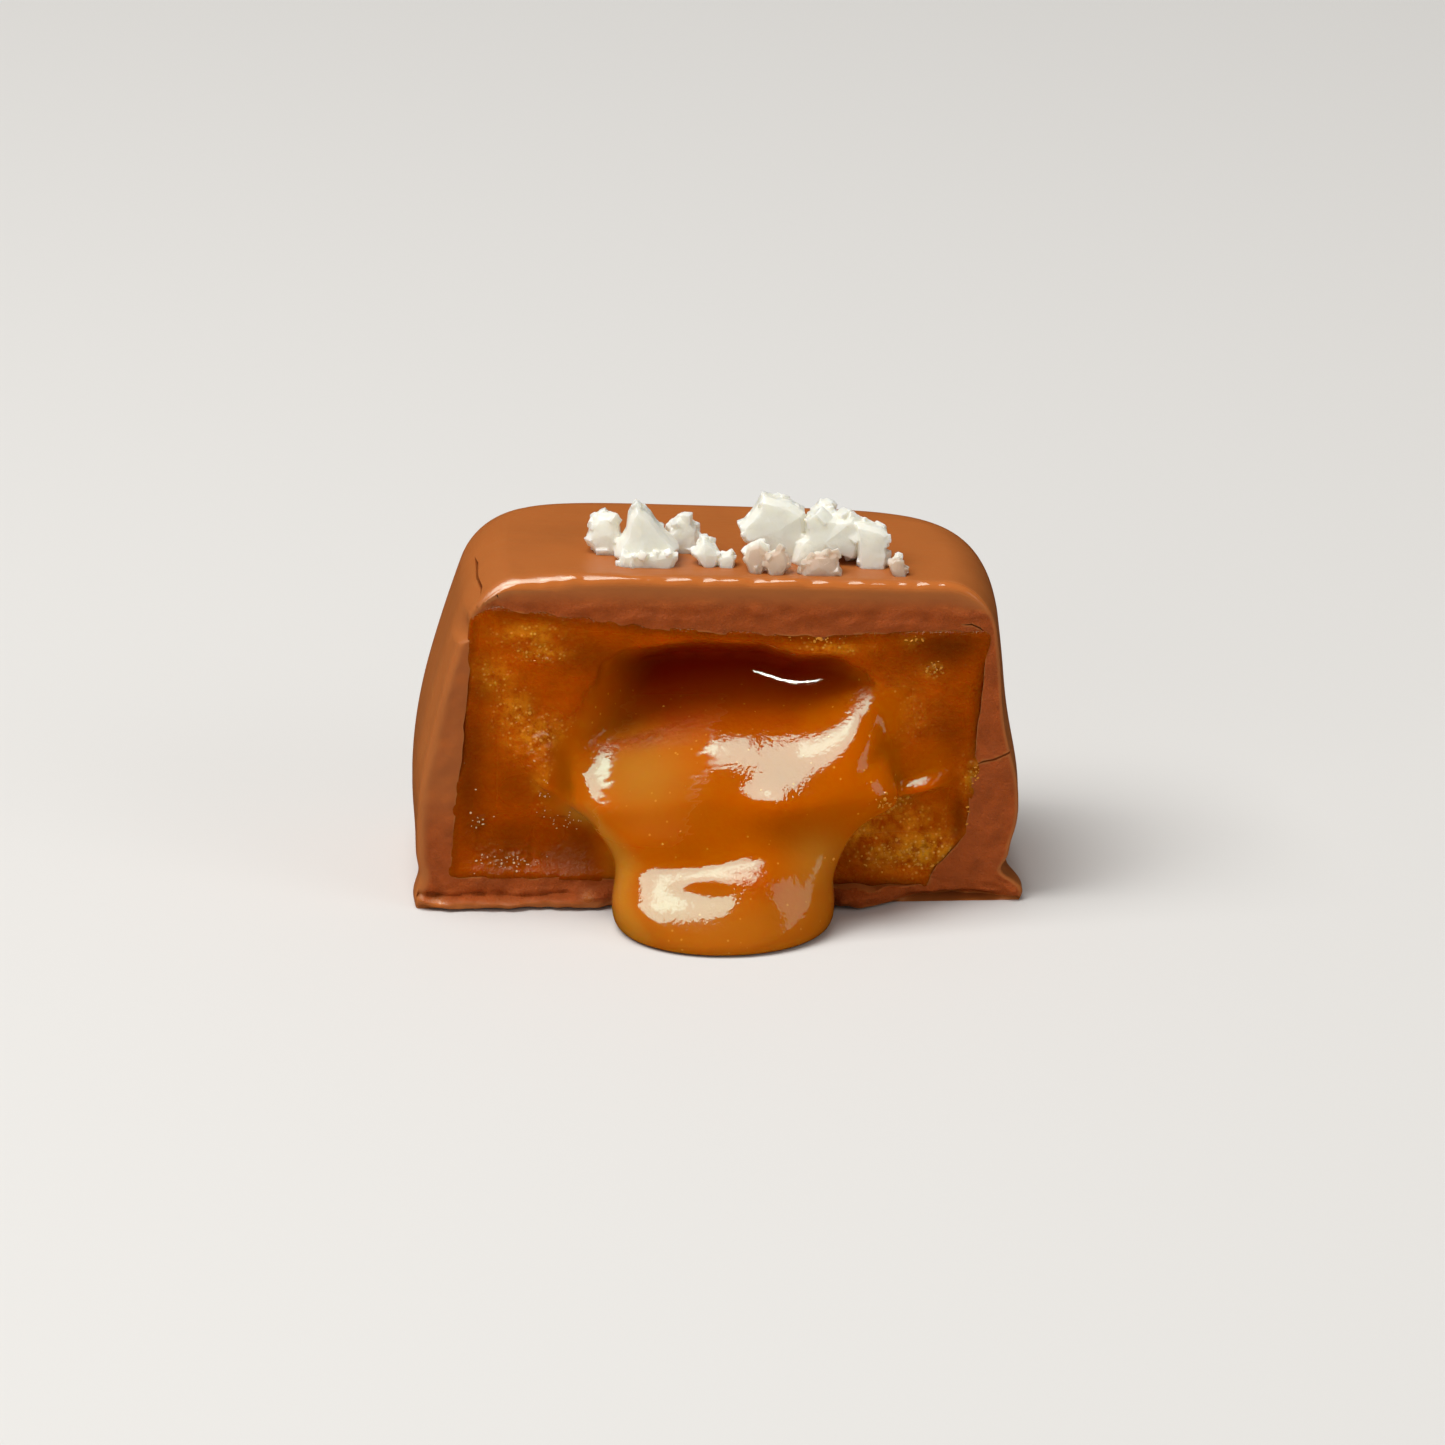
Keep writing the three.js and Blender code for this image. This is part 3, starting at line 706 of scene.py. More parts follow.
def rim_turn(gap, rim, y, on_cut):
    """Rounds the rim at a point's gap to the edge: its place behind the cut, and how far it sinks."""
    if gap >= rim:
        return y, 0.0
    far = math.hypot(rim, rim - gap)
    near = rim - rim * rim / far
    along_wall = rim - rim * (rim - gap) / far
    return (near, along_wall - gap) if on_cut else (along_wall, near)


def coating_place(co, height, top_edge, cut_rim):
    """Where a point of the grid block lies on the coating, how much it is cut and how much it is the rim."""
    u = 2.0 * spread(0.5 * (co.x + 1.0), GRID_PULL["across"]) - 1.0
    w = spread(co.z, GRID_PULL["up"])
    on_cut = co.y < ON_CUT
    side = LEFT if u < 0.0 else RIGHT
    share, out_x, out_y = plan(u, co.y ** GRID_PULL["back"], side["corner"])
    wide = LEFT["reach"]
    edge = top_edge * mix(LEFT_EDGE, 1.0, smooth(-0.6, 0.6, u))
    x, z, nx, nz = round_off(share * wide, w * height, wide, height, edge)
    inside = min(height - w * height, wide - share * wide, w * height) if on_cut else 0.0
    if on_cut and w * height <= inside:
        nx, nz = 0.0, -1.0
    y = x / wide * out_y * wall_reach(BACK, z, height)
    across = x / wide * out_x * side_reach(side, y, z, height)
    if u < 0.0:
        across += NOTCH["in"] * span(NOTCH["tall"], z) * bell(y / NOTCH["deep"])
    # The rim of the cut is wide along the top, and widest on the left.
    broad = smooth(0.3, 0.95, nz)
    down = LEFT_RIM if u < 0.0 else RIGHT_RIM
    top_rim = cut_rim * (1.0 + WIDER_RIM * smooth(-6.0, -9.0, across))
    rim = mix(down, top_rim, broad) if nz > -0.5 else BASE_RIM
    gap = inside if on_cut else y
    y, sink = rim_turn(gap, rim, y, on_cut)
    across -= math.copysign(nx * sink, u)
    z -= nz * sink
    z -= TOP_SLOPE * across * (z / height)
    start = mix(0.5 * down, 0.5, broad)
    cut = smooth(start, start + mix(down, 1.3, broad), inside) if on_cut else 0.0
    return Vector((across, y, z)), cut, broad * smooth(0.1, 0.8, 1.0 - gap / rim)


def cut_relief(x, z, top):
    """How far the cut chocolate comes forward: rolls at its foot, dents and crumbs above."""
    point = (x, 0.0, z)
    out = lumps(CUT_LUMPS, point)
    out += 0.16 * rough((x / 2.2, 0.0, z), 0.55, 3.0) * bell((top - z - 1.9) / 0.8)
    seam = FOOT_SEAM["at"] + 0.12 * rough((x, 0.0, 0.0), 1.3, 4.0)
    out -= FOOT_SEAM["in"] * bell((z - seam) / FOOT_SEAM["tall"]) * (1.0 - smooth(-8.0, -6.8, x))
    out += 0.3 * rough((x, 0.0, 1.4 * z), 0.75, 7.0) * (1.0 - smooth(0.7, 1.1, z))
    for at, forward, wide, tall in FOOT_ROLLS:
        out += forward * bell((x - at) / wide) * (1.0 - smooth(0.55 * tall, 1.3 * tall, z))
    return out


def coating_waves(place, front, rim):
    """Moves a point of the coating with the waves of its right side and its rim, and the dip of its top."""
    if place.x > 8.0:
        near = bell(place.y / 5.0) * smooth(8.0, 13.0, place.x)
        place.x += near * sum(out * bell((place.z - at) / tall) for at, out, tall in RIGHT_WAVES)
    wave = mix(0.05, 0.1, smooth(-9.5, -8.0, place.x))
    place.z += wave * rim * rough((place.x, 0.0, 0.0), 0.75, 6.0)
    if not front or rim > 0.0:
        dip = TOP_DIP["down"] * span(TOP_DIP["wide"], place.x)
        place.z -= dip * smooth(14.0, 16.0, place.z) * bell(place.y / TOP_DIP["deep"])


def coating_mesh(height, top_edge, cut_rim):
    bm = grid_block(*COATING_GRID)
    cut_share, rim_sheen_share = (bm.verts.layers.float.new(name) for name in ("cut", "rim"))
    for v in bm.verts:
        front = v.co.y < ON_CUT
        place, cut, rim = coating_place(v.co.copy(), height, top_edge, cut_rim)
        x, y, z = place
        v[cut_share] = cut * (1.0 - 0.65 * smooth(-11.0, -13.0, x) * smooth(3.0, 7.0, z))
        # The rim share paints the rim and the foot's glints paler, as a painted highlight, and makes them
        # glossy.
        v[rim_sheen_share] = max(rim, patches(FOOT_GLINTS, x, z)) if front else rim
        if front:
            place.y -= max(cut, 1.0 - smooth(0.3, 1.5, z)) * cut_relief(x, z, height - TOP_SLOPE * x)
        else:
            place += 0.05 * rough(place, 4.0, 5.0) * Vector((x, y, 0.0)).normalized()
        coating_waves(place, front, rim)
        v.co = place
    return bm


def ceiling_rise(x):
    return CEILING["rise"] * max(0.0, CEILING["from"] - x) ** CEILING["power"]


def corner_in(z):
    return CORNER["in"] * smooth(CORNER["from"], CORNER["to"], z)


def inside_place(co, height, grow):
    """Where a point of the grid block lies on the caramel's outside, grown by a margin."""
    side, plan_side = (INSIDE_LEFT, LEFT) if co.x < 0.0 else (INSIDE_RIGHT, RIGHT)
    share, out_x, out_y = plan(co.x, co.y, plan_side["corner"])
    wide = side["low"]
    up = abs(2.0 * co.z - 1.0)
    x, half, _, _ = round_off(share * wide, up * 0.5 * height, wide, 0.5 * height, INSIDE_EDGE)
    z0 = 0.5 * height + math.copysign(half, co.z - 0.5)
    across = x / wide * out_x * (side["low"] - side["lean"] * z0 + grow)
    y = x / wide * out_y * (wall_reach(BACK, z0, height) - WALL_BACK + grow)
    low = GROUND["high"] - GROUND["slope"] * across - grow
    high = CEILING["low"] + ceiling_rise(across) + grow - 0.6 * smooth(-11.4, -12.8, across)
    z = mix(low, high, z0 / height)
    across -= corner_in(z) * max(0.0, across / side["low"]) ** 4
    return Vector((across, y, z))


def inside_form(height, grow, cells):
    bm = grid_block(*cells)
    for v in bm.verts:
        v.co = inside_place(v.co, height, grow)
    return bm


def cavity_form(height):
    """The space inside the coating, open at the cut, where its edge is uneven."""
    bm = inside_form(height, 0.0, CAVITY_GRID)
    for v in bm.verts:
        if v.co.y < 3.0:
            v.co.x += 0.12 * rough((v.co.x, 0.0, v.co.z), 0.9, 21.0)
            v.co.z += 0.16 * rough((v.co.x, 0.0, v.co.z), 0.8, 22.0)
        if v.co.y < ON_CUT:
            v.co.y = -3.0
    return bm


def crack(bm, points, faces, width, depth):
    """A wedge along points on a surface, to be cut out of it."""
    up = Vector(faces).normalized()
    rings = []
    for i, point in enumerate(points):
        ahead = Vector(points[min(i + 1, len(points) - 1)]) - Vector(points[max(i - 1, 0)])
        side = ahead.cross(up).normalized()
        share = 0.25 if i in (0, len(points) - 1) else 1.0
        half = side * width * share
        around = (up - half, up + half, 0.1 * up + 0.5 * half, -depth * share * up, 0.1 * up - 0.5 * half)
        rings.append([bm.verts.new(Vector(point) + part) for part in around])
    skin_rings(bm, rings)
    bm.faces.new(list(reversed(rings[0])))
    bm.faces.new(rings[-1])


def skin_rings(bm, rings):
    """Joins each ring of vertices to the next by a band of faces."""
    for near, far in zip(rings, rings[1:]):
        for i in range(len(near)):
            j = (i + 1) % len(near)
            bm.faces.new((near[i], near[j], far[j], far[i]))


class CANDY_OT_coating(bpy.types.Operator):
    """Add the milk chocolate coating, with its cut edge"""
    bl_idname = "candy.coating"
    bl_label = "Chocolate Coating"

    def execute(self, context):
        size = context.scene.candy_coating
        height = size.height / MM
        piece = as_object("coating", coating_mesh(height, size.top_edge / MM, size.cut_rim / MM))
        without(piece, as_object("cavity", cavity_form(height)))
        gaps = bmesh.new()
        for points, faces, width, depth in CRACKS:
            crack(gaps, points, faces, width, depth)
        bmesh.ops.recalc_face_normals(gaps, faces=gaps.faces)
        without(piece, as_object("gaps", gaps))
        finished(piece, as_bmesh(piece), enrobed_milk_chocolate(size.skin, size.cut),
                 ["chocolate_coating"])
        return {"FINISHED"}


# ---- the caramel

def on_slant(co):
    """A point's place along UP and OUT."""
    away = co - PIVOT
    return away.dot(UP), away.dot(OUT)


def slant_y(y, up):
    """How far along OUT an upright plane lies."""
    z = (up - (y - PIVOT.y) * UP.y) / UP.z
    return (y - PIVOT.y) * OUT.y + z * OUT.z


def ceiling_up(x):
    """How far along UP the hollow's upper edge lies."""
    return on_slant(Vector((x, 0.0, between(CEILING_EDGE, x))))[0]


def crest(x):
    """The middle of the turn and its softness at x, and where along UP the turn begins."""
    turn, soft = along(CREST, 0.5 + 0.5 * x / CREST_HALF)
    return turn, soft, turn - TURN_REACH * soft


def skin_out(x, up, solid):
    """The caramel's skin where the hollow is: stream, turn, pool and the hollow's back, along OUT."""
    turn, soft, foot = crest(x)
    hit, _, _, _ = solid.ray_cast(PIVOT + Vector((x, 0.0, 0.0)) + UP * foot + FAR_OUT, -OUT)
    if hit is None:
        return None
    low = on_slant(hit)[1]
    fall = (POOL_SLOPE - STREAM_SLOPE) * soft
    pool = low - STREAM_SLOPE * (up - foot) - fall * (soft_step((up - turn) / soft) - soft_step(-TURN_REACH))
    window = span(HOLLOW_WIDE, x)
    lid = smooth(0.0, 0.9, ceiling_up(x) - up)
    floor = mix(slant_y(0.06, up), HOLLOW_BACK, window * lid)
    over = mix(0.9, 0.5, window)
    return floor + over * soft_step((pool - floor) / over)


def hollow_share(x, up):
    """How far the shaped skin takes over from the plain one: 1 in the hollow and on the turn."""
    foot = crest(x)[2]
    return span(SKIN_WIDE, x) * smooth(foot - 0.5, foot + 0.8, up) * smooth(-0.1, 0.1, ceiling_up(x) - up)


def pour_mesh():
    """The runny caramel as a tube of sections that lean less and less on the way down."""
    bm = bmesh.new()
    bmesh.ops.create_cone(bm, cap_ends=True, segments=96, radius1=1.0, radius2=1.0, depth=1.0)
    bmesh.ops.translate(bm, verts=bm.verts, vec=(0.0, 0.0, 0.5))
    sides = [e for e in bm.edges if abs(e.verts[0].co.z - e.verts[1].co.z) > 0.5]
    bmesh.ops.subdivide_edges(bm, edges=sides, cuts=60, use_grid_fill=True)
    for v in bm.verts:
        y, z, front, back, across, middle, lean, corner = along(POUR, v.co.z)
        depth = front + bulge(v.co.y, corner) * (front if v.co.y < 0.0 else back)
        lean = math.radians(lean)
        aside = bulge(v.co.x, corner) * across
        skew = SKEW * bell((z - 7.5) / 3.0) + FOOT_SKEW * bell((z - 3.4) / 1.1)
        v.co = Vector((middle + aside, y + depth * math.cos(lean) - skew * aside, z - depth * math.sin(lean)))
    bmesh.ops.recalc_face_normals(bm, faces=bm.faces)
    return bm


def edge_gap(x, z):
    """How far a place on the cut face of the caramel lies from the chocolate."""
    return min(
        x + INSIDE_LEFT["low"] - INSIDE_LEFT["lean"] * z,
        INSIDE_RIGHT["low"] - INSIDE_RIGHT["lean"] * z - corner_in(z) - x,
        z - GROUND["high"] + GROUND["slope"] * x,
        CEILING["low"] + ceiling_rise(x) - z,
    )


def wing_z(x):
    """The lower edge of the stream's right wing."""
    way = max(0.0, x - RIGHT_WING["x"]) / RIGHT_WING["run"]
    return RIGHT_WING["z"] + RIGHT_WING["climb"] * (1.0 - math.exp(-way))


def set_relief(x, z):
    """How far the set caramel's cut face lies back: pockets and crumbs, less the ledges of both wings."""
    point = (x, 0.0, z)
    crumbs = lumps(CRUMB_LUMPS, point) * patches(BROKEN, x, z)
    crumbs += 0.2 * rough(point, 0.5, 13.0) * patches(GOLD_CLOUDS, x, z)
    over = z - wing_z(x)
    right = (0.3 + 1.6 * bell((x - 6.0) / 2.6)) * span((-0.25, 0.3, 1.5, 6.0), over)
    right += 0.95 * bell((x - 10.1) / 1.5) * span((-0.3, 0.1, 0.2, 0.9), over)
    right *= span(RIGHT_WING["wide"], x)
    above = z - LEFT_WING["z"] + LEFT_WING["fall"] * (x - LEFT_WING["x"])
    left = LEFT_WING["out"] * span(LEFT_WING["wide"], x) * span((-0.25, 0.15, 0.8, 3.5), above)
    return summed(POCKETS, x, z) + crumbs - right - left + 0.1 * rough(point, 2.4, 9.0)


def caramel_block(height):
    """The set caramel, with its broken cut face, smeared over the chocolate's edge."""
    bm = inside_form(height, CARAMEL_GROWTH, CARAMEL_GRID)
    for v in bm.verts:
        if v.co.y < ON_CUT:
            smeared = bell(edge_gap(v.co.x, v.co.z) / SMEAR["reach"])
            v.co.y = mix(0.04 + set_relief(v.co.x, v.co.z), -SMEAR["out"], smeared)
            v.co.x += smeared * SMEAR["wander"] * rough(v.co, 0.5, 23.0)
            v.co.z += smeared * SMEAR["wander"] * rough(v.co, 0.5, 24.0)
            v.co.x += smeared * 0.5 * bell((v.co.z - 6.8) / 0.8) * smooth(10.0, 12.0, v.co.x)
    return bm


def smooth_shoulders(bm):
    """Smooths the cut face on both sides of the stream's neck, above the wings."""
    (left, right), (low, high) = NECK["x"], NECK["z"]
    smoothed(bm, [v for v in bm.verts if v.co.y < 1.0 and not left < v.co.x < right
                  and max(low, wing_z(v.co.x) + 0.9) < v.co.z < high], 30)


def shape_skin(bm):
    """Sinks the hollow into the front of the caramel, and lets the stream swell."""
    solid = BVHTree.FromBMesh(bm)
    bm.normal_update()
    (left, right), (low, high) = SHAPED["x"], SHAPED["up"]
    for v in bm.verts:
        facing = v.normal.dot(OUT)
        up, out = on_slant(v.co)
        shown = facing >= 0.05 and out >= slant_y(SHAPED["deep"], up)
        if shown and left < v.co.x < right and low < up < high:
            skin = skin_out(v.co.x, up, solid)
            if skin is not None:
                v.co += OUT * (skin - out) * hollow_share(v.co.x, up)
                up, _ = on_slant(v.co)
        if facing > 0.3 and v.co.y < -0.5:
            v.co += OUT * summed(SWELLS, v.co.x, up)


def flow_share(x, y, z, up, gap):
    """How far the caramel is the runny one: near its core, on the turn and in the film on its right wing."""
    turned = hollow_share(x, up) * smooth(1.5, 0.0, up - crest(x)[0])
    film = span(WING_FILM["wide"], x) * span(WING_FILM["tall"], z - wing_z(x)) * smooth(1.0, 0.3, y)
    return max(smooth(1.2, 0.15, gap), turned, 0.8 * film)


def painted_hollow_shade(x, up, depth, inside):
    """The painted shade of the hollow: darker by its depth in the hollow, and where its floor begins."""
    shaded = mix(0.1, 1.0, smooth(-6.2, -2.6, x)) * mix(1.0, 1.25, smooth(2.0, 4.5, x))
    edge = bell((up - DARK_FLOOR["up"]) / DARK_FLOOR["tall"]) * span(DARK_FLOOR["wide"], x)
    return min(1.0, DARK_FLOOR["by"] * edge + shaded * inside * min(1.0, max(0.0, depth) / DARKEST))


def haze_share(point, up):
    """How far the stream's gloss is veiled, on its left, with a frayed edge."""
    frayed = point.x + 0.7 * rough((0.6 * point.x, 0.0, 2.4 * up), 0.35, 31.0)
    frayed += 0.5 * rough(point, 1.0, 32.0) - 0.3 * (up + 1.2)
    return span(HAZE["wide"], frayed) * span(HAZE["tall"], up)


def stain(bm, runny):
    """Marks the shares of what the caramel's skin is made of, and of its painted shade and glow."""
    bm.normal_update()
    flow, deep, haze, painted_glow_and_sheen, gold, wet, broken = (bm.verts.layers.float.new(name) for name in CARAMEL_SHARES)
    for v in bm.verts:
        x, y, z = v.co
        up, out = on_slant(v.co)
        depth = slant_y(0.1, up) - out
        inside = smooth(0.3, 1.0, depth) * smooth(0.0, 0.5, ceiling_up(x) + 0.5 - up)
        inside *= span(POOL_WIDE, x) * smooth(-4.0, -3.0, up)
        v[flow] = max(inside, flow_share(x, y, z, up, runny.find_nearest(v.co)[3]))
        v[deep] = painted_hollow_shade(x, up, depth, inside)
        v[haze] = haze_share(v.co, up)
        # Painted glow: the foot, some patches and the side of the stream facing the key light are painted
        # paler, and a milky patch is a painted sheen.
        lip = 0.7 * smooth(0.35, 0.8, -v.normal.x) * smooth(-1.0, -2.0, y)
        painted_glow = 0.3 * smooth(4.0, 1.5, z) + patches(PAINTED_FLOW_GLOW, x, z)
        v[painted_glow_and_sheen] = v[flow] * max(painted_glow, patches(PAINTED_MILKY_SHEEN, x, up), lip)
        outer = smooth(1.2, 0.5, y)
        v[gold] = outer * patches(GOLD_CLOUDS, x, z)
        # Painted shade along the seam with the chocolate, which also makes it wet and glossy.
        edge = WET_EDGE_SHADE["by"] * bell(edge_gap(x, z) / WET_EDGE_SHADE["reach"])
        v[wet] = outer * max(edge, patches(WET_PATCHES, x, z))
        v[broken] = outer * (1.0 - v[flow]) * patches(BROKEN, x, z)


class CANDY_OT_caramel(bpy.types.Operator):
    """Add the set caramel and the runny centre that pours out of it, melted into each other"""
    bl_idname = "candy.caramel"
    bl_label = "Caramel"

    def execute(self, context):
        size = context.scene.candy_caramel
        block = caramel_block(context.scene.candy_coating.height / MM)
        pour = pour_mesh()
        runny = BVHTree.FromBMesh(pour)
        core = as_object("core", pour)
        block.from_mesh(core.data)
        bpy.data.meshes.remove(core.data)
        piece = as_object("caramel", block)
        bm = melted(piece, size.voxel / MM, 3)
        smooth_shoulders(bm)
        shape_skin(bm)
        bm = melted(stored(piece, bm), size.voxel / MM, 2)
        stain(bm, runny)
        finished(piece, bm, soft_caramel(size.firm, size.runny),
                 ["set_caramel", "runny_caramel"])
        return {"FINISHED"}


def add_crumb(bm, hit, kind, chance):
    """A flat crumb at a place, turned any way. In the wet pockets they are smaller."""
    turn = Matrix.Rotation(chance.uniform(0.0, math.pi), 4, (0.0, 1.0, 0.3))
    shape = Matrix.Diagonal((1.0, 0.5, chance.uniform(0.4, 0.9), 1.0))
    radius = CRUMB_RADIUS["least"] + CRUMB_RADIUS[kind] * chance.random() ** 2
    bmesh.ops.create_icosphere(bm, subdivisions=1, radius=radius,
                               matrix=Matrix.Translation(hit) @ turn @ shape)


class CANDY_OT_crumbs(bpy.types.Operator):
    """Add the sugar crumbs that stand in the broken caramel"""
    bl_idname = "candy.crumbs"
    bl_label = "Sugar Crumbs"

    def execute(self, context):
        chance = random.Random(context.scene.candy_salt.seed)
        body = as_bmesh(bpy.data.objects["caramel"])
        bmesh.ops.transform(body, verts=body.verts,
                            matrix=Matrix.Translation(-SHIFT) @ Matrix.Scale(1.0 / MM, 4))
        skin = BVHTree.FromBMesh(body)
        body.free()
        bm = bmesh.new()
        for x, z, wide, tall, count in CRUMBS:
            kind = "wet" if x < -7.0 and z < 7.0 else "dry"
            for _ in range(count // FEWER[kind]):
                spot = Vector((chance.gauss(x, 0.55 * wide), 0.0, chance.gauss(z, 0.55 * tall)))
                hit, _, _, _ = skin.ray_cast(spot + FAR_OUT, -OUT)
                if hit is not None:
                    add_crumb(bm, hit, kind, chance)
        painted_glint = bm.verts.layers.float.new("painted_glint")
        # The crumbs in the lower left are painted paler, as painted glints.
        for v in bm.verts:
            v[painted_glint] = smooth(-6.0, -8.0, v.co.x) * smooth(9.0, 7.0, v.co.z)
        piece = as_object("sugar_crumbs", bm)
        finished(piece, as_bmesh(piece), wet_sugar())
        return {"FINISHED"}


# ---- the salt

def on_flake(flake, height, x, z, shrink, back):
    """A place in a flake: drawn in to its middle by a share, and at a share of its thickness."""
    y, thick, _, outline = flake
    middle = Vector((sum(corner[0] for corner in outline), 0.0, sum(corner[1] for corner in outline)))
    middle /= len(outline)
    middle.z += height - TOP_SLOPE * middle.x
    spot = middle + (Vector((x, 0.0, z + height - TOP_SLOPE * x)) - middle) * shrink
    spot.y = y + thick * back + FLAKE_LEAN * (spot.z - middle.z)
    return spot


def tumbled_cube(bm, place, size, chance):
    """A cube at a place, turned any way."""
    made = bmesh.ops.create_cube(bm, size=size)["verts"]
    axis = Vector((chance.uniform(-1.0, 1.0), chance.uniform(-1.0, 1.0), chance.uniform(-1.0, 1.0)))
    spin = Matrix.Rotation(chance.uniform(0.0, math.pi), 4, axis)
    bmesh.ops.transform(bm, verts=made, matrix=Matrix.Translation(place) @ spin)


def flake_slab(bm, flake, height, chance):
    """A flake's slab, with slanting sides and a low peak on each face."""
    rings = []
    for back, shrink in ((0.0, 0.8), (0.25, 0.95), (0.75, 0.95), (1.0, 0.75)):
        ring = []
        for x, z in flake[3]:
            sunk = z - FLAKE_SINK * smooth(0.4, 0.1, z)
            ring.append(bm.verts.new(
                on_flake(flake, height, x, sunk, shrink, back + chance.uniform(-0.03, 0.03))))
        rings.append(ring)
    skin_rings(bm, rings)
    for ring, out in ((rings[0], -1.0), (list(reversed(rings[-1])), 1.0)):
        cap = bm.faces.new(ring)
        centre = bmesh.ops.poke(bm, faces=[cap])["verts"][0]
        forward = out * chance.uniform(0.02, 0.12)
        centre.co += Vector((chance.uniform(-0.2, 0.2), forward, chance.uniform(-0.2, 0.2)))


def flake_crystals(bm, flake, height, chance):
    """Small crystals along a flake's edge, and on the face of the coarser flakes."""
    _, _, grain, outline = flake
    for (x, z), (next_x, next_z) in zip(outline, outline[1:] + outline[:1]):
        for t in (0.0, 0.5):
            if chance.random() < 0.3:
                continue
            spot = on_flake(flake, height, mix(x, next_x, t), mix(z, next_z, t), chance.uniform(0.72, 0.92),
                            chance.uniform(0.1, 0.8))
            tumbled_cube(bm, spot, grain * chance.uniform(0.8, 1.5), chance)
    for _ in range(round(160.0 * max(0.0, grain - COARSE_GRAIN))):
        x, z = chance.choice(outline)
        spot = on_flake(flake, height, x, z, chance.uniform(0.1, 0.85), 0.15)
        tumbled_cube(bm, spot, grain * chance.uniform(0.4, 0.8), chance)


class CANDY_OT_salt(bpy.types.Operator):
    """Add the sea salt flakes on the top"""
    bl_idname = "candy.salt"
    bl_label = "Salt Flakes"

    def execute(self, context):
        size = context.scene.candy_salt
        height = context.scene.candy_coating.height / MM
        chance = random.Random(size.seed)
        bm = bmesh.new()
        for flake in FLAKES:
            flake_slab(bm, flake, height, chance)
            flake_crystals(bm, flake, height, chance)
        bmesh.ops.recalc_face_normals(bm, faces=bm.faces)
        piece = as_object("salt_flakes", bm)
        stored(piece, melted(piece, size.facet / MM, 1))
        bm = as_bmesh(applied(piece, "DECIMATE", ratio=size.grown))
        bm.normal_update()
        clear = bm.verts.layers.float.new("clear")
        for v in bm.verts:
            v.co += v.normal * lumps(CRYSTAL_LUMPS, v.co)
            v[clear] = 1.0 - smooth(1.2, 1.7, v.co.y)
        finished(piece, bm, flaked_sea_salt(size.white), sharp=CRYSTAL_SHARP)
        return {"FINISHED"}


# ---- the stage

def paper_floor(tone):
    bm = bmesh.new()
    bmesh.ops.create_grid(bm, x_segments=1, y_segments=1, size=FLOOR_HALF)
    floor = as_object("floor", bm)
    floor.data.materials.append(matt_paper(tone))
    floor.visible_glossy = False


def looking(name, data, place, target):
    thing = linked(name, data)
    thing.location = place
    thing.rotation_euler = (target - place).to_track_quat("-Z", "Y").to_euler()
    return thing


def view_camera(target, distance):
    data = bpy.data.cameras.new("camera")
    data.lens = LENS
    data.sensor_width = 36.0
    data.clip_start = 0.01
    level = distance * math.cos(VIEW_ELEVATION)
    back = Vector((math.sin(VIEW_AZIMUTH) * level, -math.cos(VIEW_AZIMUTH) * level,
                   math.sin(VIEW_ELEVATION) * distance))
    return looking("camera", data, target + back, target)


def area_light(name, shape, size, power):
    data = bpy.data.lights.new(name, "AREA")
    data.shape = shape
    data.size, data.size_y = size
    data.energy = power
    return data


def streak_light():
    start, end, facing = (Vector(part) for part in STREAK)
    data = area_light("hollow_streak", "ELLIPSE", ((end - start).length * MM, STREAK_WIDE * MM), STREAK_POWER)
    data.spread = STREAK_SPREAD
    data.color = STREAK_TINT
    streak = linked("hollow_streak", data)
    back = -facing.normalized()
    side = (end - start).cross(back).cross(back).normalized()
    axes = Matrix((side, back.cross(side), back)).transposed()
    streak.matrix_world = Matrix.Translation((0.5 * (start + end) + SHIFT) * MM) @ axes.to_4x4()
    streak.visible_camera = streak.visible_diffuse = streak.visible_transmission = False


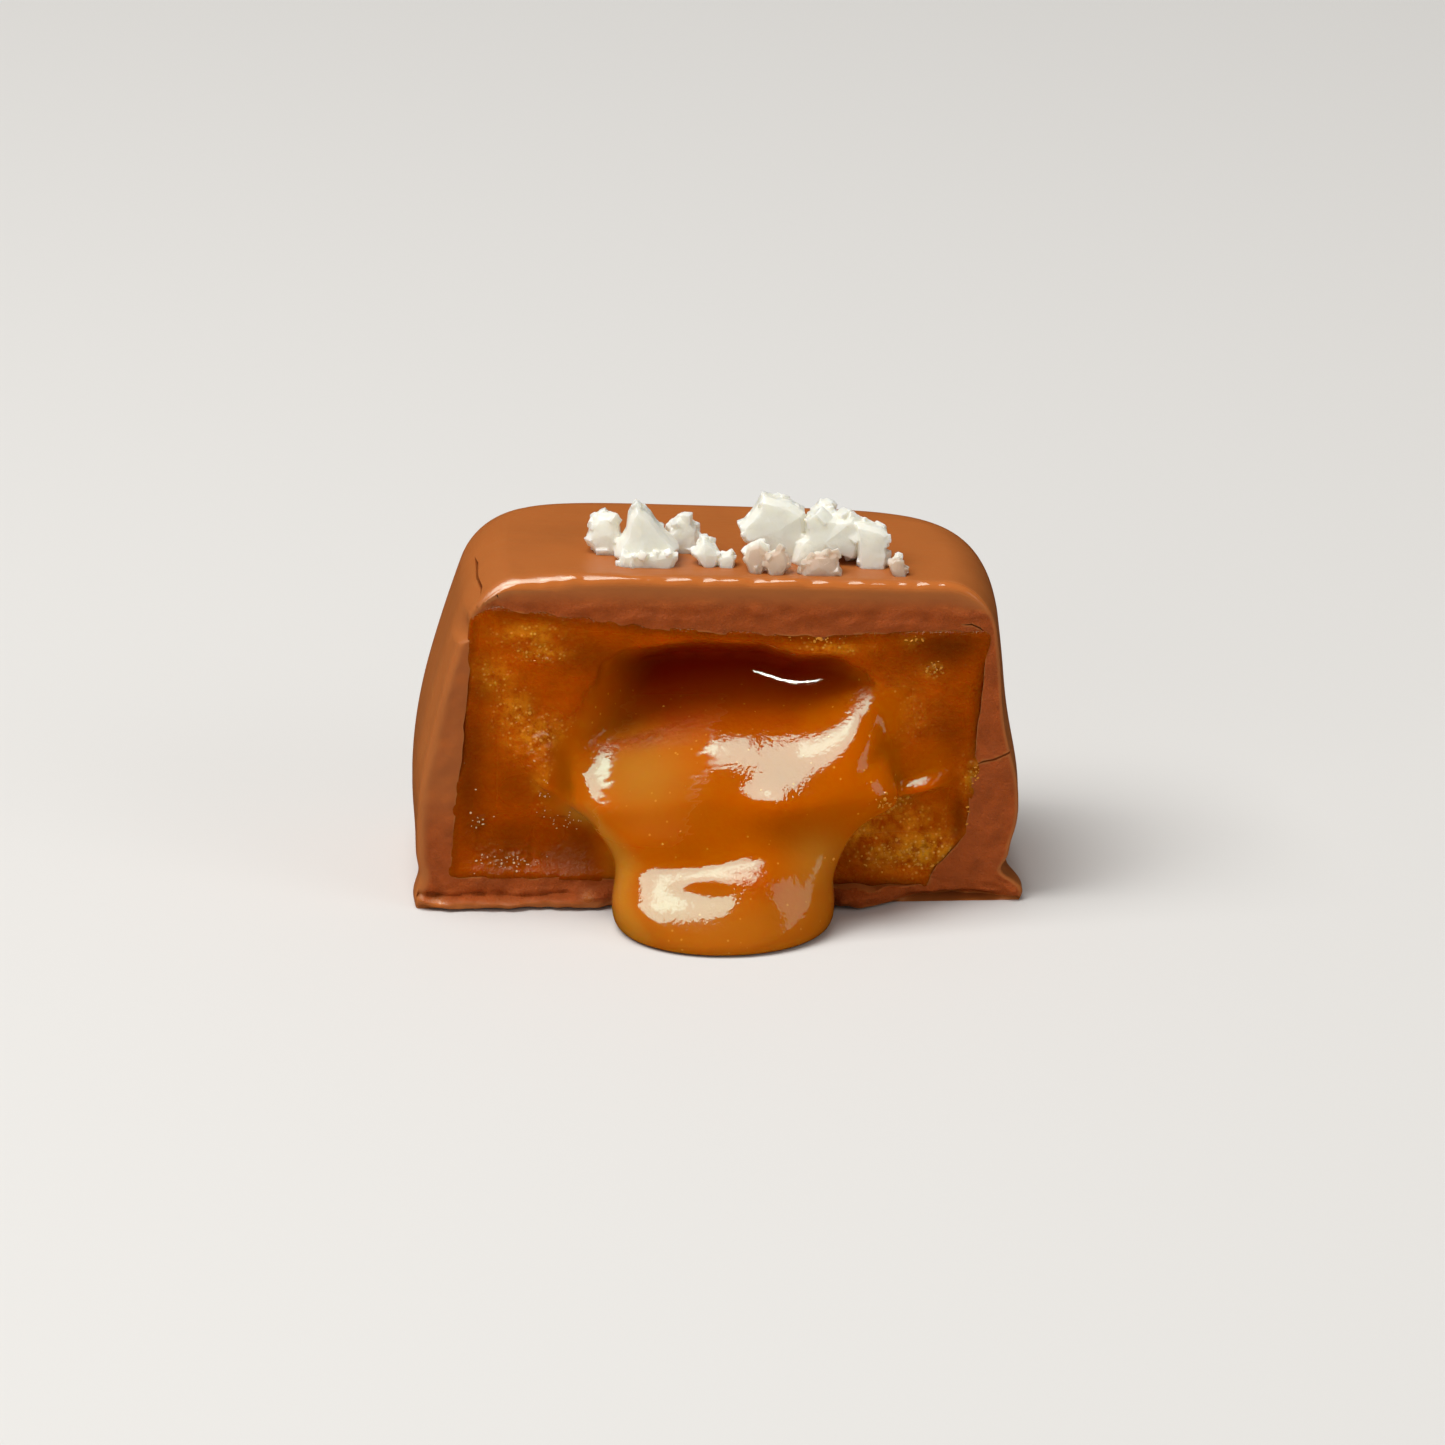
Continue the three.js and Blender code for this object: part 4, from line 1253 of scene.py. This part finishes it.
def studio_world():
    world = bpy.data.worlds.new("studio")
    world.use_nodes = True
    inputs = world.node_tree.nodes["Background"].inputs
    inputs["Color"].default_value = linear(SKY["tone"])
    inputs["Strength"].default_value = SKY["strength"]
    world.cycles_visibility.glossy = False
    return world


class CANDY_OT_stage(bpy.types.Operator):
    """Add the floor, the soft lights and the camera"""
    bl_idname = "candy.stage"
    bl_label = "Stage"

    def execute(self, context):
        scene = context.scene
        target = (VIEW_TARGET + SHIFT) * MM
        paper_floor(scene.candy_stage.floor)
        scene.camera = view_camera(target, scene.candy_stage.distance)
        for name, place, size, power, in_gloss in LIGHTS:
            data = area_light(name, "RECTANGLE", size, power)
            looking(name, data, target + Vector(place), target).visible_glossy = in_gloss
        streak_light()
        scene.world = studio_world()
        scene.view_settings.view_transform = "Standard"
        return {"FINISHED"}


# ---- the add-on

SETTINGS = {
    "candy_coating": CoatingSettings,
    "candy_caramel": CaramelSettings,
    "candy_salt": SaltSettings,
    "candy_stage": StageSettings,
}
OPERATORS = (CANDY_OT_stage, CANDY_OT_coating, CANDY_OT_caramel, CANDY_OT_crumbs, CANDY_OT_salt)


class CANDY_PT_panel(bpy.types.Panel):
    bl_idname = "CANDY_PT_panel"
    bl_label = "Salted Caramel Candy"
    bl_space_type = "VIEW_3D"
    bl_region_type = "UI"
    bl_category = "Candy"

    def draw(self, context):
        for name, kind in SETTINGS.items():
            box = self.layout.box()
            for prop in kind.__annotations__:
                box.prop(getattr(context.scene, name), prop)
        for operator in OPERATORS:
            self.layout.operator(operator.bl_idname)


CLASSES = tuple(SETTINGS.values()) + OPERATORS + (CANDY_PT_panel,)


def register():
    for kind in CLASSES:
        bpy.utils.register_class(kind)
    for name, kind in SETTINGS.items():
        setattr(bpy.types.Scene, name, PointerProperty(type=kind))


def unregister():
    for name in SETTINGS:
        delattr(bpy.types.Scene, name)
    for kind in reversed(CLASSES):
        bpy.utils.unregister_class(kind)


def main():
    register()
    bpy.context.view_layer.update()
    bpy.ops.candy.stage()
    bpy.ops.candy.coating()
    bpy.ops.candy.caramel()
    bpy.ops.candy.crumbs()
    bpy.ops.candy.salt()


if __name__ == "__main__":
    main()
